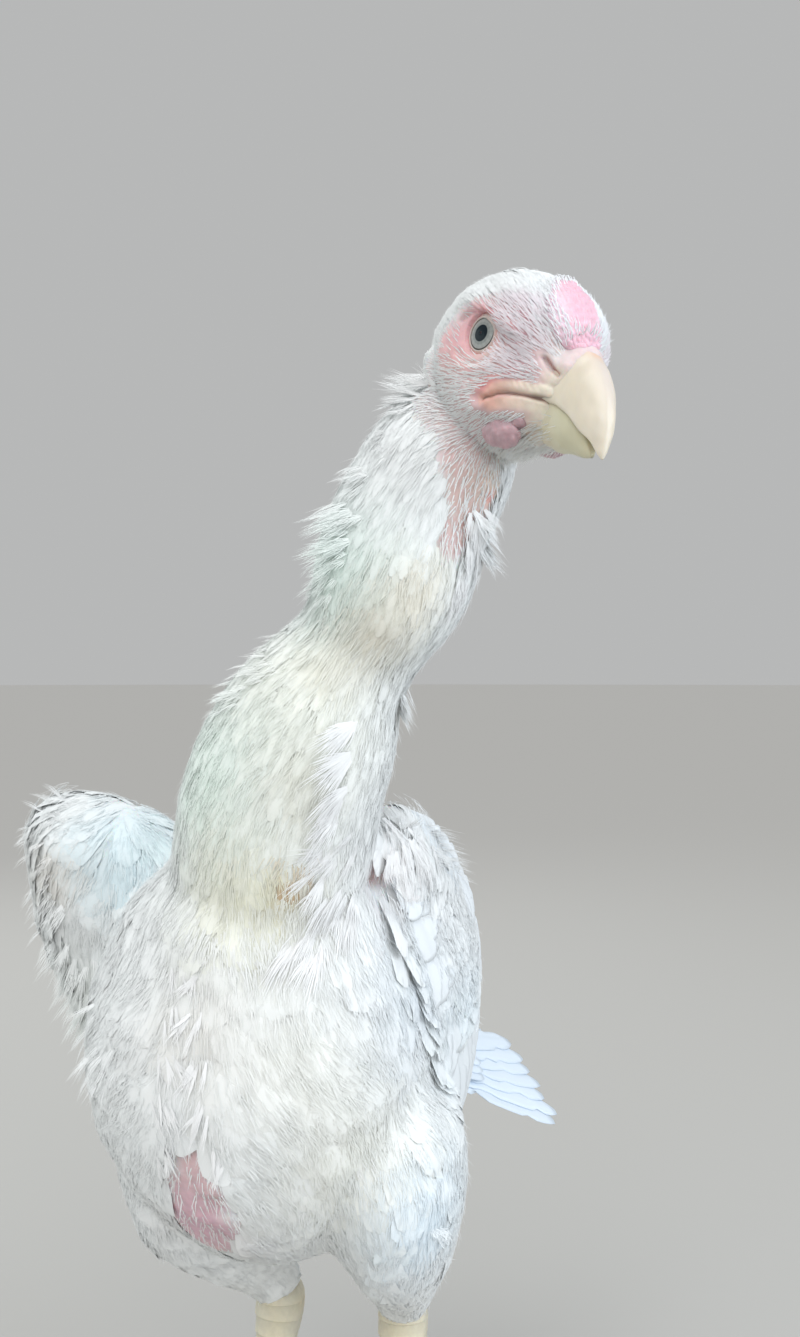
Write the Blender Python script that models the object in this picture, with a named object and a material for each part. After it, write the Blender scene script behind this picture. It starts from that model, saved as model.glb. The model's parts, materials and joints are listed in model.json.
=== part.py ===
"""Shamo chick: a young, long-necked game fowl standing tall, neck leaning and head turned to its left.

The bird faces -Y, its left side is +X and the floor is z = 0. Sizes below are in millimetres.
"""

import math
import random

import bmesh
import bpy
import numpy as np
from mathutils import Matrix, Vector

MM = 0.001
GAP = 0.35
FLOOR_CUT = 0.8

# Where the bird's own midline lies in the frame whose origin is under the middle of the whole box
ORIGIN_X = -10.0
ORIGIN_Y = -78.5

# Torso, from the neck base to the vent: x, y, z, half width, reach to the breast side, reach to the back side
TORSO = (
    (2, -26, 323, 12, 10, 10),
    (0, -24, 305, 37, 27, 28),
    (-5, -14, 283, 52, 43, 41),
    (-10, -2, 261, 61, 58, 48),
    (-13, 14, 239, 65, 67, 50),
    (-13, 34, 219, 64, 65, 50),
    (-10, 56, 206, 57, 56, 45),
    (-4, 80, 201, 44, 41, 38),
    (-1, 102, 203, 32, 22, 28),
    (0, 120, 209, 17, 12, 16),
    (0, 128, 212, 6, 4, 6),
)
TORSO_RINGS = 18
TORSO_SIDES = 22
KEEL_LIFT = 0.07
KEEL_HALF_ANGLE = 0.24

# Neck, from inside the breast to inside the head: x, y, z, half width, throat reach, nape reach, turn in degrees
NECK = (
    (3, -12, 286, 27, 26, 26, 0),
    (6, -22, 307, 34.5, 32, 30, 0),
    (13, -27, 336, 33.5, 32, 31, 5),
    (24, -29, 359, 30, 29, 28, 12),
    (32, -30.5, 372, 24.5, 24, 24, 20),
    (40.5, -31, 383, 20.5, 21, 20.5, 28),
    (47.5, -32, 394, 24, 26, 23, 34),
    (53, -33, 407, 26.5, 28, 26, 40),
    (60, -33, 425, 25.5, 26.5, 25.5, 46),
    (71, -34, 444, 23, 24, 24, 52),
    (79, -35, 459, 15, 14, 15, 54),
)
NECK_SPLIT = 5
NECK_RINGS = 9
NECK_SIDES = 18

# Head pose: the middle of the head, then turn to its left, beak down and roll in degrees
HEAD_AT = (92.0, -43.0, 465.0)
HEAD_TURN = 52.0
HEAD_DOWN = 12.5
HEAD_ROLL = -8.0
HEAD_SCALE = 0.98

# Skull and face skin in the head's own axes, x to the beak: x, top z, bottom z, half width
HEAD = (
    (-29, 2, -6, 2),
    (-27, 9, -13, 9),
    (-22.5, 15.5, -20, 14),
    (-16, 21, -24, 17.5),
    (-8, 25.5, -26.5, 20),
    (1, 27.5, -27, 21),
    (10, 27.3, -26, 20.5),
    (18, 25, -24, 18.5),
    (25, 20.5, -21.5, 15),
    (30.5, 13.5, -19, 10.5),
    (34.5, 2, -10, 2.5),
)
HEAD_RINGS = 21
HEAD_SIDES = 22

# Strokes that shape the face on both sides: from, to, radius, push outwards
FACE_STROKES = (
    ((-2, 18, 13.5), (19, 12.5, 12), 4.2, 2.4),
    ((8, 20, 6), (8, 20, 6), 7.0, -4.2),
    ((19, 14, 3), (22, 12, -2), 4.5, -1.6),
    ((-8, 21, -3), (4, 20, -13), 7.0, 1.4),
    ((-22, 17, -4), (-13, 17, -22), 3.5, 1.8),
    ((6, 17, -15.5), (22, 11, -14), 2.6, 1.3),
)
EYE_AT = (8.0, 12.6, 6.0)
EYE_RADIUS = 7.4
LID_RING = 6.1
LID_THICK = 1.25

# Upper bill, culmen x and z, cutting edge x and z, half width
BILL_UPPER = (
    (19, 10.5, 14, -12, 10.5),
    (25, 9.5, 21, -11.8, 10.2),
    (31.5, 7.8, 28, -11.3, 9.2),
    (38, 4.6, 34.5, -12.2, 7.9),
    (44, -0.8, 39.5, -14.6, 6.5),
    (48.4, -8, 43.4, -17.8, 5.0),
    (50.6, -15, 46.9, -20.0, 3.4),
    (51.2, -20.5, 49.2, -22.8, 1.8),
    (50.9, -23.9, 50.3, -24.3, 0.4),
)
# Lower bill, cutting edge x and z, keel x and z, half width
BILL_LOWER = (
    (13, -10.5, 12, -20.5, 9.0),
    (20, -10.5, 19, -21.5, 8.8),
    (28, -10, 26, -22.5, 8.0),
    (34.5, -11, 32, -24, 6.8),
    (39.5, -13.5, 38, -24.0, 5.3),
    (43.2, -17, 43, -24.6, 3.4),
    (45.8, -22.4, 46.2, -24.2, 1.0),
)
NOSTRIL_AT = (30.5, 8.2, 1.6)
# The line of the mouth behind the bill, a cut through the face: middle, sizes, slope
GAPE_AT = (21.0, 0.0, -11.9)
GAPE_SIZE = (22.0, 60.0, 0.8)
GAPE_SLOPE = -3.0

COMB_AT = (26.0, 0.0, 14.6)
COMB_SIZE = (12.5, 10.4, 5.4)
COMB_SLOPE = 54.0
WATTLE_AT = (15.0, 9.4, -20.4)
WATTLE_SIZE = (8.2, 4.2, 5.6)

# Folded wing in its own plane: a runs down and back from the wrist, b runs back and up
WING_WRIST = (2.0, 311.0)
WING_SLOPE = 58.0
WING_OUT = 56.0
# a, b of the middle, half breadth along b, thickness
WING_CORE = (
    (-15, 3, 4, 5),
    (-11, 3, 13, 15),
    (0, 4, 20, 24),
    (18, 5, 26, 29),
    (42, 7, 31, 28),
    (72, 9, 33, 22),
    (94, 11, 29, 14),
    (108, 12, 20, 7),
    (113, 12, 8, 3),
)
WING_RINGS = 12
WING_SIDES = 12
# The right wing is held off the body by the first, and its shoulder is that much thicker inwards
RIGHT_WING_SPREAD = 51.0
RIGHT_WING_FILL = 26.0
# Tiers of the wing from the wrist to the tip. Each: count, then a, b, length, width and heading of the first
# and of the last feather, and how far the whole tier lies under the outer face
WING_TIERS = (
    (5, (2, -9, 31, 13, -5), (0, 17, 28, 12, 7), 0.0),
    (6, (22, -14, 38, 15, -5), (20, 24, 34, 14, 9), 0.0),
    (7, (44, -17, 48, 16, -4), (42, 30, 44, 16, 11), 0.0),
    (8, (72, -16, 72, 17, -1), (66, 34, 62, 16, 14), 0.0),
    (5, (98, -12, 82, 15, 0), (92, 10, 66, 14, 6), 4.0),
)
VANE_THICK = 0.6
VANE_TILT = 0.13
# Share of the length, share of the width, and height over the outer face
VANE_SHAPE = (
    (0.0, 0.4, -3.0),
    (0.2, 0.9, 0.8),
    (0.82, 0.92, 4.0),
    (1.0, 0.16, 4.6),
)

TAIL_ROOT = (0.0, 116.0, 213.0)
TAIL_DROOP = 10.0
TAIL_SWING = 13.0
# Each half of the tail slopes down to its side, like a low tent
TAIL_TENT = 30.0
# Along, half width and thickness of the tail's fleshy root with its down
TAIL_CORE = ((-16, 8, 9), (0, 17, 20), (16, 19, 19), (32, 17, 13), (42, 12, 7), (46, 5, 3))
# Half the count of a tier, length in the middle and at the side, width, half fan, height over the middle
TAIL_TIERS = (
    (7, 112, 94, 20, 30.0, 0.0),
    (4, 58, 46, 15, 24.0, 3.2),
)
TAIL_STEP = 1.05
# How far from the middle the first feather's root lies, and the next ones from each other
TAIL_SPACING = (7.0, 1.3)

# Feathered thigh of the left leg, hip to hock: x, y, z, half width, half depth
THIGH = (
    (26, 24, 232, 14, 20),
    (35, 21, 212, 24, 34),
    (36, 24, 190, 26, 36),
    (34.5, 33, 170, 23, 31),
    (31.5, 44, 154, 19, 23),
    (29, 54, 141, 15, 16),
    (27, 61, 131, 11, 11.6),
    (26, 64, 123, 9.4, 10),
)
# The right thigh stands this much further out at the hip, with the wider right flank
RIGHT_THIGH_OUT = 13.0
# Bare shank of the left leg, hock to ankle
SHANK = (
    (26, 64.5, 126, 6.0, 6.5),
    (26, 64.5, 122.5, 9.2, 10),
    (26.2, 63.5, 114, 9.4, 10.2),
    (27, 60.5, 101, 7.6, 8.4),
    (28.5, 54.5, 78, 6.3, 7.2),
    (30, 48, 50, 6.2, 7.2),
    (31.2, 42.5, 27, 7.0, 7.8),
    (31.8, 40, 17, 8.0, 8.6),
    (32, 39.5, 13, 5.0, 5.5),
)
SHANK_SIDES = 10
SHANK_PLATES = 12
SHANK_RISE = 0.7
FOOT_AT = (32.0, 38.0, 8.5)
# Toes of the left foot: name, heading from straight ahead, length, root radius, claw length
TOES = (
    ("inner", -34.0, 41.0, 5.4, 12.0),
    ("middle", 3.0, 57.0, 5.8, 13.0),
    ("outer", 37.0, 47.0, 5.4, 12.0),
    ("hind", 190.0, 22.0, 4.8, 12.0),
)

# Share of a toe's length and of its root radius: the pads bulge under its joints
TOE_SHAPE = (
    (-0.06, 0.4),
    (0.0, 0.95),
    (0.14, 1.0),
    (0.3, 0.9),
    (0.42, 0.98),
    (0.56, 0.8),
    (0.7, 0.88),
    (0.84, 0.72),
    (0.97, 0.7),
    (1.0, 0.35),
)
TOE_SIDES = 8
TOE_PLATE = 7.5
TOE_RISE = 0.5

# Finish of each slot: colour, roughness
FINISHES = {
    "plumage": ((0.86, 0.87, 0.83), 0.8),
    "flight_feathers": ((0.88, 0.88, 0.86), 0.7),
    "face_skin": ((0.83, 0.52, 0.50), 0.6),
    "comb_skin": ((0.85, 0.42, 0.46), 0.55),
    "bill_horn": ((0.87, 0.80, 0.62), 0.35),
    "eye": ((0.62, 0.64, 0.62), 0.08),
    "shank_scales": ((0.83, 0.69, 0.40), 0.5),
    "claw_horn": ((0.80, 0.74, 0.60), 0.35),
}


def clear_scene():
    for obj in list(bpy.data.objects):
        bpy.data.objects.remove(obj)


def finish(slot):
    material = bpy.data.materials.get(slot)
    if material is None:
        colour, roughness = FINISHES[slot]
        material = bpy.data.materials.new(slot)
        material.use_nodes = True
        shader = material.node_tree.nodes["Principled BSDF"]
        shader.inputs["Base Color"].default_value = (*colour, 1.0)
        shader.inputs["Roughness"].default_value = roughness
        shader.inputs["Metallic"].default_value = 0.0
    return material


def smooth_rows(rows, count):
    """Rows of sizes, eased through a Catmull-Rom curve and read at count even steps."""
    rows = np.array(rows, float)
    last = len(rows) - 1
    out = []
    for t in np.linspace(0, last, count):
        i = min(int(t), last - 1)
        f = t - i
        before, after = rows[max(i - 1, 0)], rows[min(i + 2, last)]
        start, end = rows[i], rows[i + 1]
        out.append(
            0.5
            * (
                2 * start
                + (end - before) * f
                + (2 * before - 5 * start + 4 * end - after) * f**2
                + (3 * start - before - 3 * end + after) * f**3
            )
        )
    return np.array(out)


def unit(v):
    v = np.asarray(v, float)
    return v / np.linalg.norm(v)


def add_frames():
    """The empties that the pieces hang from: the bird's own axes, and the head's axes within them."""
    bird = bpy.data.objects.new("bird_axes", None)
    bird.location = (ORIGIN_X * MM, ORIGIN_Y * MM, 0)
    head = bpy.data.objects.new("head_axes", None)
    head.parent = bird
    facing = Matrix(((0, 1, 0), (-1, 0, 0), (0, 0, 1)))
    turn = Matrix.Rotation(math.radians(HEAD_TURN), 3, "Z")
    down = Matrix.Rotation(math.radians(HEAD_DOWN), 3, "Y")
    roll = Matrix.Rotation(math.radians(HEAD_ROLL), 3, "X")
    head.rotation_euler = (turn @ facing @ down @ roll).to_euler()
    head.location = [v * MM for v in HEAD_AT]
    for empty in (bird, head):
        bpy.context.scene.collection.objects.link(empty)


def new_object(name, vertices, faces, slot, axes="bird_axes"):
    """A mesh object from points in millimetres of the bird's or the head's axes, its faces pointing out."""
    mesh = bpy.data.meshes.new(name)
    size = MM * HEAD_SCALE if axes == "head_axes" else MM
    mesh.from_pydata((np.asarray(vertices, float) * size).tolist(), [], faces)
    shape = bmesh.new()
    shape.from_mesh(mesh)
    bmesh.ops.remove_doubles(shape, verts=shape.verts, dist=1e-6)
    bmesh.ops.recalc_face_normals(shape, faces=shape.faces)
    shape.to_mesh(mesh)
    shape.free()
    mesh.materials.append(finish(slot))
    mesh.shade_smooth()
    obj = bpy.data.objects.new(name, mesh)
    obj.parent = bpy.data.objects[axes]
    bpy.context.scene.collection.objects.link(obj)
    return obj


def loft(name, rings, slot, axes="bird_axes"):
    """A closed body through rings of equal point counts, with a fan at each end."""
    rings = [np.asarray(ring, float) for ring in rings]
    sides = len(rings[0])
    vertices = np.concatenate([*rings, [rings[0].mean(0)], [rings[-1].mean(0)]])
    faces = []
    for i in range(len(rings) - 1):
        for j in range(sides):
            k = (j + 1) % sides
            faces.append((i * sides + j, i * sides + k, (i + 1) * sides + k, (i + 1) * sides + j))
    first, last = len(rings) * sides, len(rings) * sides + 1
    end = (len(rings) - 1) * sides
    for j in range(sides):
        k = (j + 1) % sides
        faces.append((first, k, j))
        faces.append((last, end + j, end + k))
    return new_object(name, vertices, faces, slot, axes)


def ring_about(centre, side, front, half, ahead, behind, sides, bulge=None):
    """An oval ring: half wide along side, ahead deep along front and behind deep against it."""
    out = []
    for angle in np.arange(sides) * 2 * math.pi / sides:
        reach = ahead if math.sin(angle) > 0 else behind
        scale = 1.0 if bulge is None else bulge(angle)
        out.append(centre + (side * half * math.cos(angle) + front * reach * math.sin(angle)) * scale)
    return np.array(out)


def grown(obj, by):
    """A hidden copy of obj whose surface stands out by this many millimetres, to cut what meets it."""
    mesh = obj.data.copy()
    normals = np.array([v.normal for v in mesh.vertices])
    points = np.array([v.co for v in mesh.vertices]) + normals * by * MM
    mesh.vertices.foreach_set("co", points.ravel())
    copy = bpy.data.objects.new(obj.name + "_clearance", mesh)
    copy.parent = obj.parent
    bpy.context.scene.collection.objects.link(copy)
    copy.hide_render = True
    return copy


def evaluated_mesh(obj):
    graph = bpy.context.evaluated_depsgraph_get()
    return bpy.data.meshes.new_from_object(obj.evaluated_get(graph))


def keep_largest(obj):
    """Keeps the closed surface with the most faces and drops scraps and sealed hollows."""
    shape = bmesh.new()
    shape.from_mesh(obj.data)
    left = set(shape.verts)
    groups = []
    while left:
        stack = [left.pop()]
        group = set(stack)
        while stack:
            for edge in stack.pop().link_edges:
                for vertex in edge.verts:
                    if vertex in left:
                        left.remove(vertex)
                        group.add(vertex)
                        stack.append(vertex)
        groups.append(group)
    groups.sort(key=len)
    for group in groups[:-1]:
        bmesh.ops.delete(shape, geom=list(group), context="VERTS")
    shape.to_mesh(obj.data)
    shape.free()


def boolean(obj, others, operation, solver="EXACT"):
    """Joins or cuts obj with the others in one Boolean, applies it and removes the others."""
    bpy.context.view_layer.update()
    group = bpy.data.collections.new(obj.name + "_tools")
    bpy.context.scene.collection.children.link(group)
    for other in others:
        group.objects.link(other)
    modifier = obj.modifiers.new("combine", "BOOLEAN")
    modifier.operation = operation
    modifier.operand_type = "COLLECTION"
    modifier.collection = group
    modifier.solver = solver
    mesh = evaluated_mesh(obj)
    obj.modifiers.clear()
    obj.data = mesh
    for other in others:
        bpy.data.objects.remove(other)
    bpy.data.collections.remove(group)
    keep_largest(obj)
    return obj


def cut_clear(obj, *parents, solver="EXACT"):
    """Cuts obj back from the pieces that it grows from, so that they meet face to face with a gap."""
    return boolean(obj, [grown(parent, GAP) for parent in parents], "DIFFERENCE", solver)


def from_bmesh(name, shape, matrix, slot, axes="bird_axes"):
    """An object from a primitive in a bmesh, turned and moved by a matrix in millimetres."""
    bmesh.ops.transform(shape, matrix=matrix, verts=shape.verts)
    points = [v.co[:] for v in shape.verts]
    faces = [[v.index for v in f.verts] for f in shape.faces]
    shape.free()
    return new_object(name, points, faces, slot, axes)


def block(name, centre, size, axes="bird_axes", slope=0.0):
    """A box to cut with, leant forwards by slope degrees about its y axis."""
    shape = bmesh.new()
    bmesh.ops.create_cube(shape, size=1.0)
    lean = Matrix.Rotation(math.radians(slope), 4, "Y")
    return from_bmesh(name, shape, Matrix.Translation(centre) @ lean @ Matrix.Diagonal((*size, 1)), "plumage", axes)


def ellipsoid(name, centre, size, slot, axes="bird_axes", slope=0.0, segments=16, rings=10):
    """A squashed sphere, leant forwards by slope degrees about its own y axis."""
    shape = bmesh.new()
    bmesh.ops.create_uvsphere(shape, u_segments=segments, v_segments=rings, radius=1.0)
    lean = Matrix.Rotation(math.radians(slope), 4, "Y")
    return from_bmesh(name, shape, Matrix.Translation(centre) @ lean @ Matrix.Diagonal((*size, 1)), slot, axes)


def mirrored(point, side):
    return (point[0], point[1] * side, point[2])


def make_torso():
    rows = smooth_rows(TORSO, TORSO_RINGS)
    centres = rows[:, :3]
    tangents = np.gradient(centres, axis=0) * (0, 1, 1)
    side = np.array((1.0, 0, 0))

    def keel(angle):
        off = (angle - math.pi / 2) / KEEL_HALF_ANGLE
        return 1 + KEEL_LIFT * math.exp(-off * off)

    rings = []
    for centre, tangent, row in zip(centres, tangents, rows):
        breast = np.cross(unit(tangent), side)
        breast *= -1 if breast @ (0, 1, 0.7) > 0 else 1
        half, ahead, behind = row[3:]
        rings.append(ring_about(centre, side, breast, half, ahead, behind, TORSO_SIDES, keel))
    return loft("torso", rings, "plumage")


def neck_rings():
    rows = smooth_rows(NECK, NECK_RINGS * 2 + 1)
    centres = rows[:, :3]
    tangents = np.gradient(centres, axis=0)
    rings = []
    for centre, tangent, row in zip(centres, tangents, rows):
        turn = math.radians(row[6])
        tangent = unit(tangent)
        throat = np.array((math.sin(turn), -math.cos(turn), 0.0))
        throat = unit(throat - tangent * (throat @ tangent))
        side = np.cross(tangent, throat)
        rings.append(ring_about(centre, side, throat, row[3], row[4], row[5], NECK_SIDES))
    return rings


def make_neck(torso):
    rings = neck_rings()
    split = 2 * NECK_SPLIT - 1
    lower = loft("neck_lower", rings[: split + 1], "plumage")
    cut_clear(lower, torso)
    upper = loft("neck_upper", rings[split:], "plumage")
    cut_clear(upper, lower)
    return lower, upper


def stroke_push(point, side):
    """How far the face strokes push a point of the head outwards."""
    push = 0.0
    for start, end, radius, amount in FACE_STROKES:
        a = np.array(mirrored(start, side), float)
        b = np.array(mirrored(end, side), float)
        along = b - a
        t = 0.0 if not along.any() else float(np.clip((point - a) @ along / (along @ along), 0, 1))
        distance = np.linalg.norm(point - a - t * along)
        push += amount * math.exp(-((distance / radius) ** 2))
    return push


def head_skin():
    """The head as a loft, with the face strokes pushed out of it or into it."""
    rings = []
    for x, top, bottom, half in smooth_rows(HEAD, HEAD_RINGS):
        middle = (top + bottom) / 2 + 0.12 * (top - bottom)
        ring = []
        for angle in np.arange(HEAD_SIDES) * 2 * math.pi / HEAD_SIDES:
            reach = top - middle if math.sin(angle) > 0 else middle - bottom
            fullness = 1 + 0.045 * math.sin(2 * angle) ** 2
            out = np.array((0, math.cos(angle), math.sin(angle)))
            point = np.array((x, half * out[1] * fullness, middle + reach * out[2] * fullness))
            push = stroke_push(point, 1 if point[1] >= 0 else -1)
            ring.append(point + unit(out) * push)
        rings.append(ring)
    return loft("head", rings, "face_skin", "head_axes")


def bill_ring(top_x, top_z, low_x, low_z, half, shape):
    """A bill section from its top point to its lower point, wide as the shape's pairs say."""
    top, low = np.array((top_x, top_z)), np.array((low_x, low_z))
    left = []
    for share, width in shape:
        x, z = top + (low - top) * share
        left.append((x, half * width, z))
    right = [(x, -y, z) for x, y, z in reversed(left) if y > 1e-6]
    return left + right


UPPER_SHAPE = ((0, 0), (0.03, 0.36), (0.2, 0.7), (0.5, 0.93), (0.8, 1.0), (1.0, 0.93), (0.96, 0.55), (0.93, 0))
LOWER_SHAPE = ((0.06, 0), (0.03, 0.6), (0, 0.97), (0.3, 1.0), (0.65, 0.8), (0.92, 0.42), (1.0, 0))


def make_bill():
    upper_rows = smooth_rows(BILL_UPPER, 12)
    lower_rows = smooth_rows(BILL_LOWER, 9)
    upper = loft("bill_upper", [bill_ring(*row, UPPER_SHAPE) for row in upper_rows], "bill_horn", "head_axes")
    lower = loft("bill_lower", [bill_ring(*row, LOWER_SHAPE) for row in lower_rows], "bill_horn", "head_axes")
    slots = [
        ellipsoid(f"nostril_{side}", mirrored(NOSTRIL_AT, side), (3.4, 2.2, 0.9), "bill_horn", "head_axes", 38, 10, 6)
        for side in (1, -1)
    ]
    boolean(upper, slots, "DIFFERENCE")
    cut_clear(lower, upper)
    return upper, lower


def make_eye(name, side):
    return ellipsoid(name, mirrored(EYE_AT, side), (EYE_RADIUS,) * 3, "eye", "head_axes", 0, 14, 8)


def make_lid(side):
    """The ring of the lids round one eye, an oval roll that lies on the eye."""
    outward = unit((0.10, side, 0.02))
    depth = math.sqrt(EYE_RADIUS**2 - LID_RING**2) + 0.5
    bpy.ops.mesh.primitive_torus_add(
        major_radius=LID_RING * MM, minor_radius=LID_THICK * MM, major_segments=16, minor_segments=6
    )
    lid = bpy.context.object
    lid.name = f"lids_{side}"
    lid.parent = bpy.data.objects["head_axes"]
    lid.rotation_euler = Vector(outward).to_track_quat("Z", "Y").to_euler()
    lid.location = [(c + depth * o) * MM * HEAD_SCALE for c, o in zip(mirrored(EYE_AT, side), outward)]
    return lid


def make_head(neck_upper):
    upper, lower = make_bill()
    eyes = [make_eye("eye_left", 1), make_eye("eye_right", -1)]
    head = head_skin()
    cut_clear(neck_upper, head, lower, *eyes)
    boolean(head, [make_lid(1), make_lid(-1)], "UNION")
    boolean(head, [block("mouth", GAPE_AT, GAPE_SIZE, "head_axes", GAPE_SLOPE)], "DIFFERENCE")
    cut_clear(head, upper, lower, *eyes)
    comb = make_comb()
    cut_clear(comb, head, upper)
    for name, side in (("wattle_left", 1), ("wattle_right", -1)):
        wattle = ellipsoid(name, mirrored(WATTLE_AT, side), WATTLE_SIZE, "comb_skin", "head_axes", 0, 12, 8)
        cut_clear(wattle, head, lower)
    return head


def make_comb():
    """The low pea comb: a pad up the forehead."""
    return ellipsoid("comb", COMB_AT, COMB_SIZE, "comb_skin", "head_axes", COMB_SLOPE, 16, 10)


def wing_surface(a, b, out=0.0, spread=0.0):
    """A point of the left wing's outer face from its own plane, raised by out."""
    slope = math.radians(WING_SLOPE)
    y = WING_WRIST[0] + a * math.cos(slope) + b * math.sin(slope)
    z = WING_WRIST[1] - a * math.sin(slope) + b * math.cos(slope)
    x = WING_OUT - 15 * ((a - 60) / 85) ** 2 - 13 * ((b - 12) / 50) ** 2
    x += out + spread * (1 - 0.5 * (a / 168) ** 2)
    return np.array((x, y, z))


def core_height(a, b):
    """The height of the wing's core over the outer face at a, b, which is 0 along its middle."""
    middle, half, thick = (np.interp(a, *np.array(WING_CORE, float).T[[0, i]]) for i in (1, 2, 3))
    off = min(abs(b - middle) / half, 1.0)
    return thick / 2 * (math.sqrt(1 - off * off) - 1)


def vane(name, stations, slot="flight_feathers"):
    """A flat feather through stations of four points: upper left, upper right, lower left, lower right.

    The upper and the lower face are split into triangles alike, so that they never cross where they bend.
    """
    vertices = [point for station in stations for point in station]
    faces = []
    for i in range(len(stations) - 1):
        ul, ur, ll, lr = (4 * i + k for k in range(4))
        nul, nur, nll, nlr = (4 * i + 4 + k for k in range(4))
        faces += [(ul, ur, nur), (ul, nur, nul), (ll, nlr, lr), (ll, nll, nlr)]
        faces += [(ul, nul, nll), (ul, nll, ll), (ur, lr, nlr), (ur, nlr, nur)]
    last = 4 * (len(stations) - 1)
    faces += [(0, 2, 3), (0, 3, 1), (last, last + 1, last + 3), (last, last + 3, last + 2)]
    return new_object(name, vertices, faces, slot)


def wing_vane(name, root, length, width, heading, under, side, spread):
    """One feather of the wing, its root in the core and its tip clear of the tier that it lies over."""
    turn = math.radians(heading)
    stations = []
    for share, breadth, height in VANE_SHAPE:
        a = root[0] + length * share * math.cos(turn)
        b = root[1] + length * share * math.sin(turn)
        out = height - under
        if share < 0.2:
            out += core_height(a, b)
        half = width * breadth / 2
        station = []
        for lower in (0, VANE_THICK):
            for across in (half, -half):
                lift = out + across * VANE_TILT - lower
                x, y, z = wing_surface(a - across * math.sin(turn), b + across * math.cos(turn), lift, spread)
                station.append((x * side, y, z))
        stations.append(station)
    return vane(name, stations)


def make_wing(name, side, spread, *parents):
    draw = random.Random(7)
    rings = []
    for a, b, half, thick in smooth_rows(WING_CORE, WING_RINGS):
        ring = []
        for angle in np.arange(WING_SIDES) * 2 * math.pi / WING_SIDES:
            lift = thick / 2 * (math.sin(angle) - 1)
            if side < 0 and math.sin(angle) < 0:
                shoulder = min(1.0, max(0.0, (108 - a) / 60)) * half / 34
                lift += (thick / 2 + RIGHT_WING_FILL * shoulder) * math.sin(angle)
            x, y, z = wing_surface(a, b + half * math.cos(angle), lift, spread)
            ring.append((x * side, y, z))
        rings.append(ring)
    wing = loft(name, rings, "flight_feathers")
    vanes = []
    for tier, (count, first, last, under) in enumerate(WING_TIERS):
        for i in range(count):
            a, b, length, width, heading = np.array(first) + (np.array(last) - first) * i / (count - 1)
            length *= draw.uniform(0.96, 1.04)
            heading += draw.uniform(-1.2, 1.2)
            feather = f"{name}_{tier}_{i}"
            vanes.append(wing_vane(feather, (a, b), length, width, heading, under, side, spread))
    boolean(wing, vanes, "UNION", "MANIFOLD")
    return cut_clear(wing, *parents, solver="MANIFOLD")


def tail_axes():
    droop, swing = math.radians(TAIL_DROOP), math.radians(TAIL_SWING)
    back = np.array((math.sin(swing) * math.cos(droop), math.cos(swing) * math.cos(droop), -math.sin(droop)))
    side = unit(np.cross(back, (0, 0, 1)))
    return back, side, np.cross(side, back)


def tail_vane(name, rank, side, length, width, heading, height):
    """One feather of the tail. rank counts outwards from the middle, and each lies a step lower."""
    back, side_axis, up_axis = tail_axes()
    turn, tent = math.radians(heading), math.radians(TAIL_TENT)
    across = side_axis * side * math.cos(tent) - up_axis * math.sin(tent)
    up = up_axis * math.cos(tent) + side_axis * side * math.sin(tent)
    along = back * math.cos(turn) + across * math.sin(turn)
    wide = across * math.cos(turn) - back * math.sin(turn)
    root = np.array(TAIL_ROOT) + across * (TAIL_SPACING[0] + rank * TAIL_SPACING[1]) + up_axis * 3 + back * 6
    stations = []
    for share, breadth, rise in VANE_SHAPE:
        reach = length * share
        bend = -0.0005 * reach * reach
        centre = root + along * reach + up * (height - rank * TAIL_STEP + bend + min(rise, 0.0))
        half = width * breadth / 2
        edges = [centre + wide * half, centre - wide * half]
        stations.append(edges + [edge - up * VANE_THICK for edge in edges])
    return vane(name, stations)


def make_tail(torso):
    back, across, up = tail_axes()
    rings = []
    for along, half, thick in TAIL_CORE:
        centre = np.array(TAIL_ROOT) + back * along - up * 3.0
        rings.append(ring_about(centre, across, up, half, thick / 2, thick / 2, 14))
    tail = loft("tail", rings, "flight_feathers")
    draw = random.Random(11)
    vanes = []
    for tier, (count, middle, outer, width, fan, height) in enumerate(TAIL_TIERS):
        for rank in range(count):
            share = rank / (count - 1)
            for side in (1, -1):
                length = (middle + (outer - middle) * share) * draw.uniform(0.97, 1.03)
                heading = fan * (rank + 0.5) / (count - 0.5) + draw.uniform(-0.8, 0.8)
                lift = height + (0.25 if side > 0 else -0.25)
                vanes.append(tail_vane(f"tail_{tier}_{rank}_{side}", rank, side, length, width, heading, lift))
    boolean(tail, vanes, "UNION", "MANIFOLD")
    return cut_clear(tail, torso, solver="MANIFOLD")


def leg_rings(rows, side, sides, count, outward=0.0):
    rows = smooth_rows(rows, count)
    rows[:, 0] += outward * np.linspace(1, 0, count)
    centres = rows[:, :3]
    tangents = np.gradient(centres, axis=0)
    rings = []
    for centre, tangent, row in zip(centres, tangents, rows):
        tangent = unit(tangent)
        across = unit(np.array((1.0, 0, 0)) - tangent * tangent[0])
        front = np.cross(tangent, across)
        ring = ring_about(centre, across, front, row[3], row[4], row[4], sides)
        rings.append(ring * (side, 1, 1))
    return rings


def stepped(rings, count, rise, facing):
    """Rings read again so that each of count plates ends raised and the next one starts low.

    facing gives, for each point of a ring, how far it takes part, from 0 to 1.
    """
    rings = np.array(rings)
    places = np.linspace(0, len(rings) - 1, count + 1)
    out = []
    for start, end in zip(places[:-1], places[1:]):
        for at, lift in ((start + 0.06 * (end - start), 0.0), (end - 0.06 * (end - start), rise)):
            i = min(int(at), len(rings) - 2)
            ring = rings[i] + (rings[i + 1] - rings[i]) * (at - i)
            outward = ring - ring.mean(0)
            outward /= np.linalg.norm(outward, axis=1)[:, None]
            out.append(ring + outward * (lift * facing)[:, None])
    return [rings[0], *out, rings[-1]]


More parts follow.
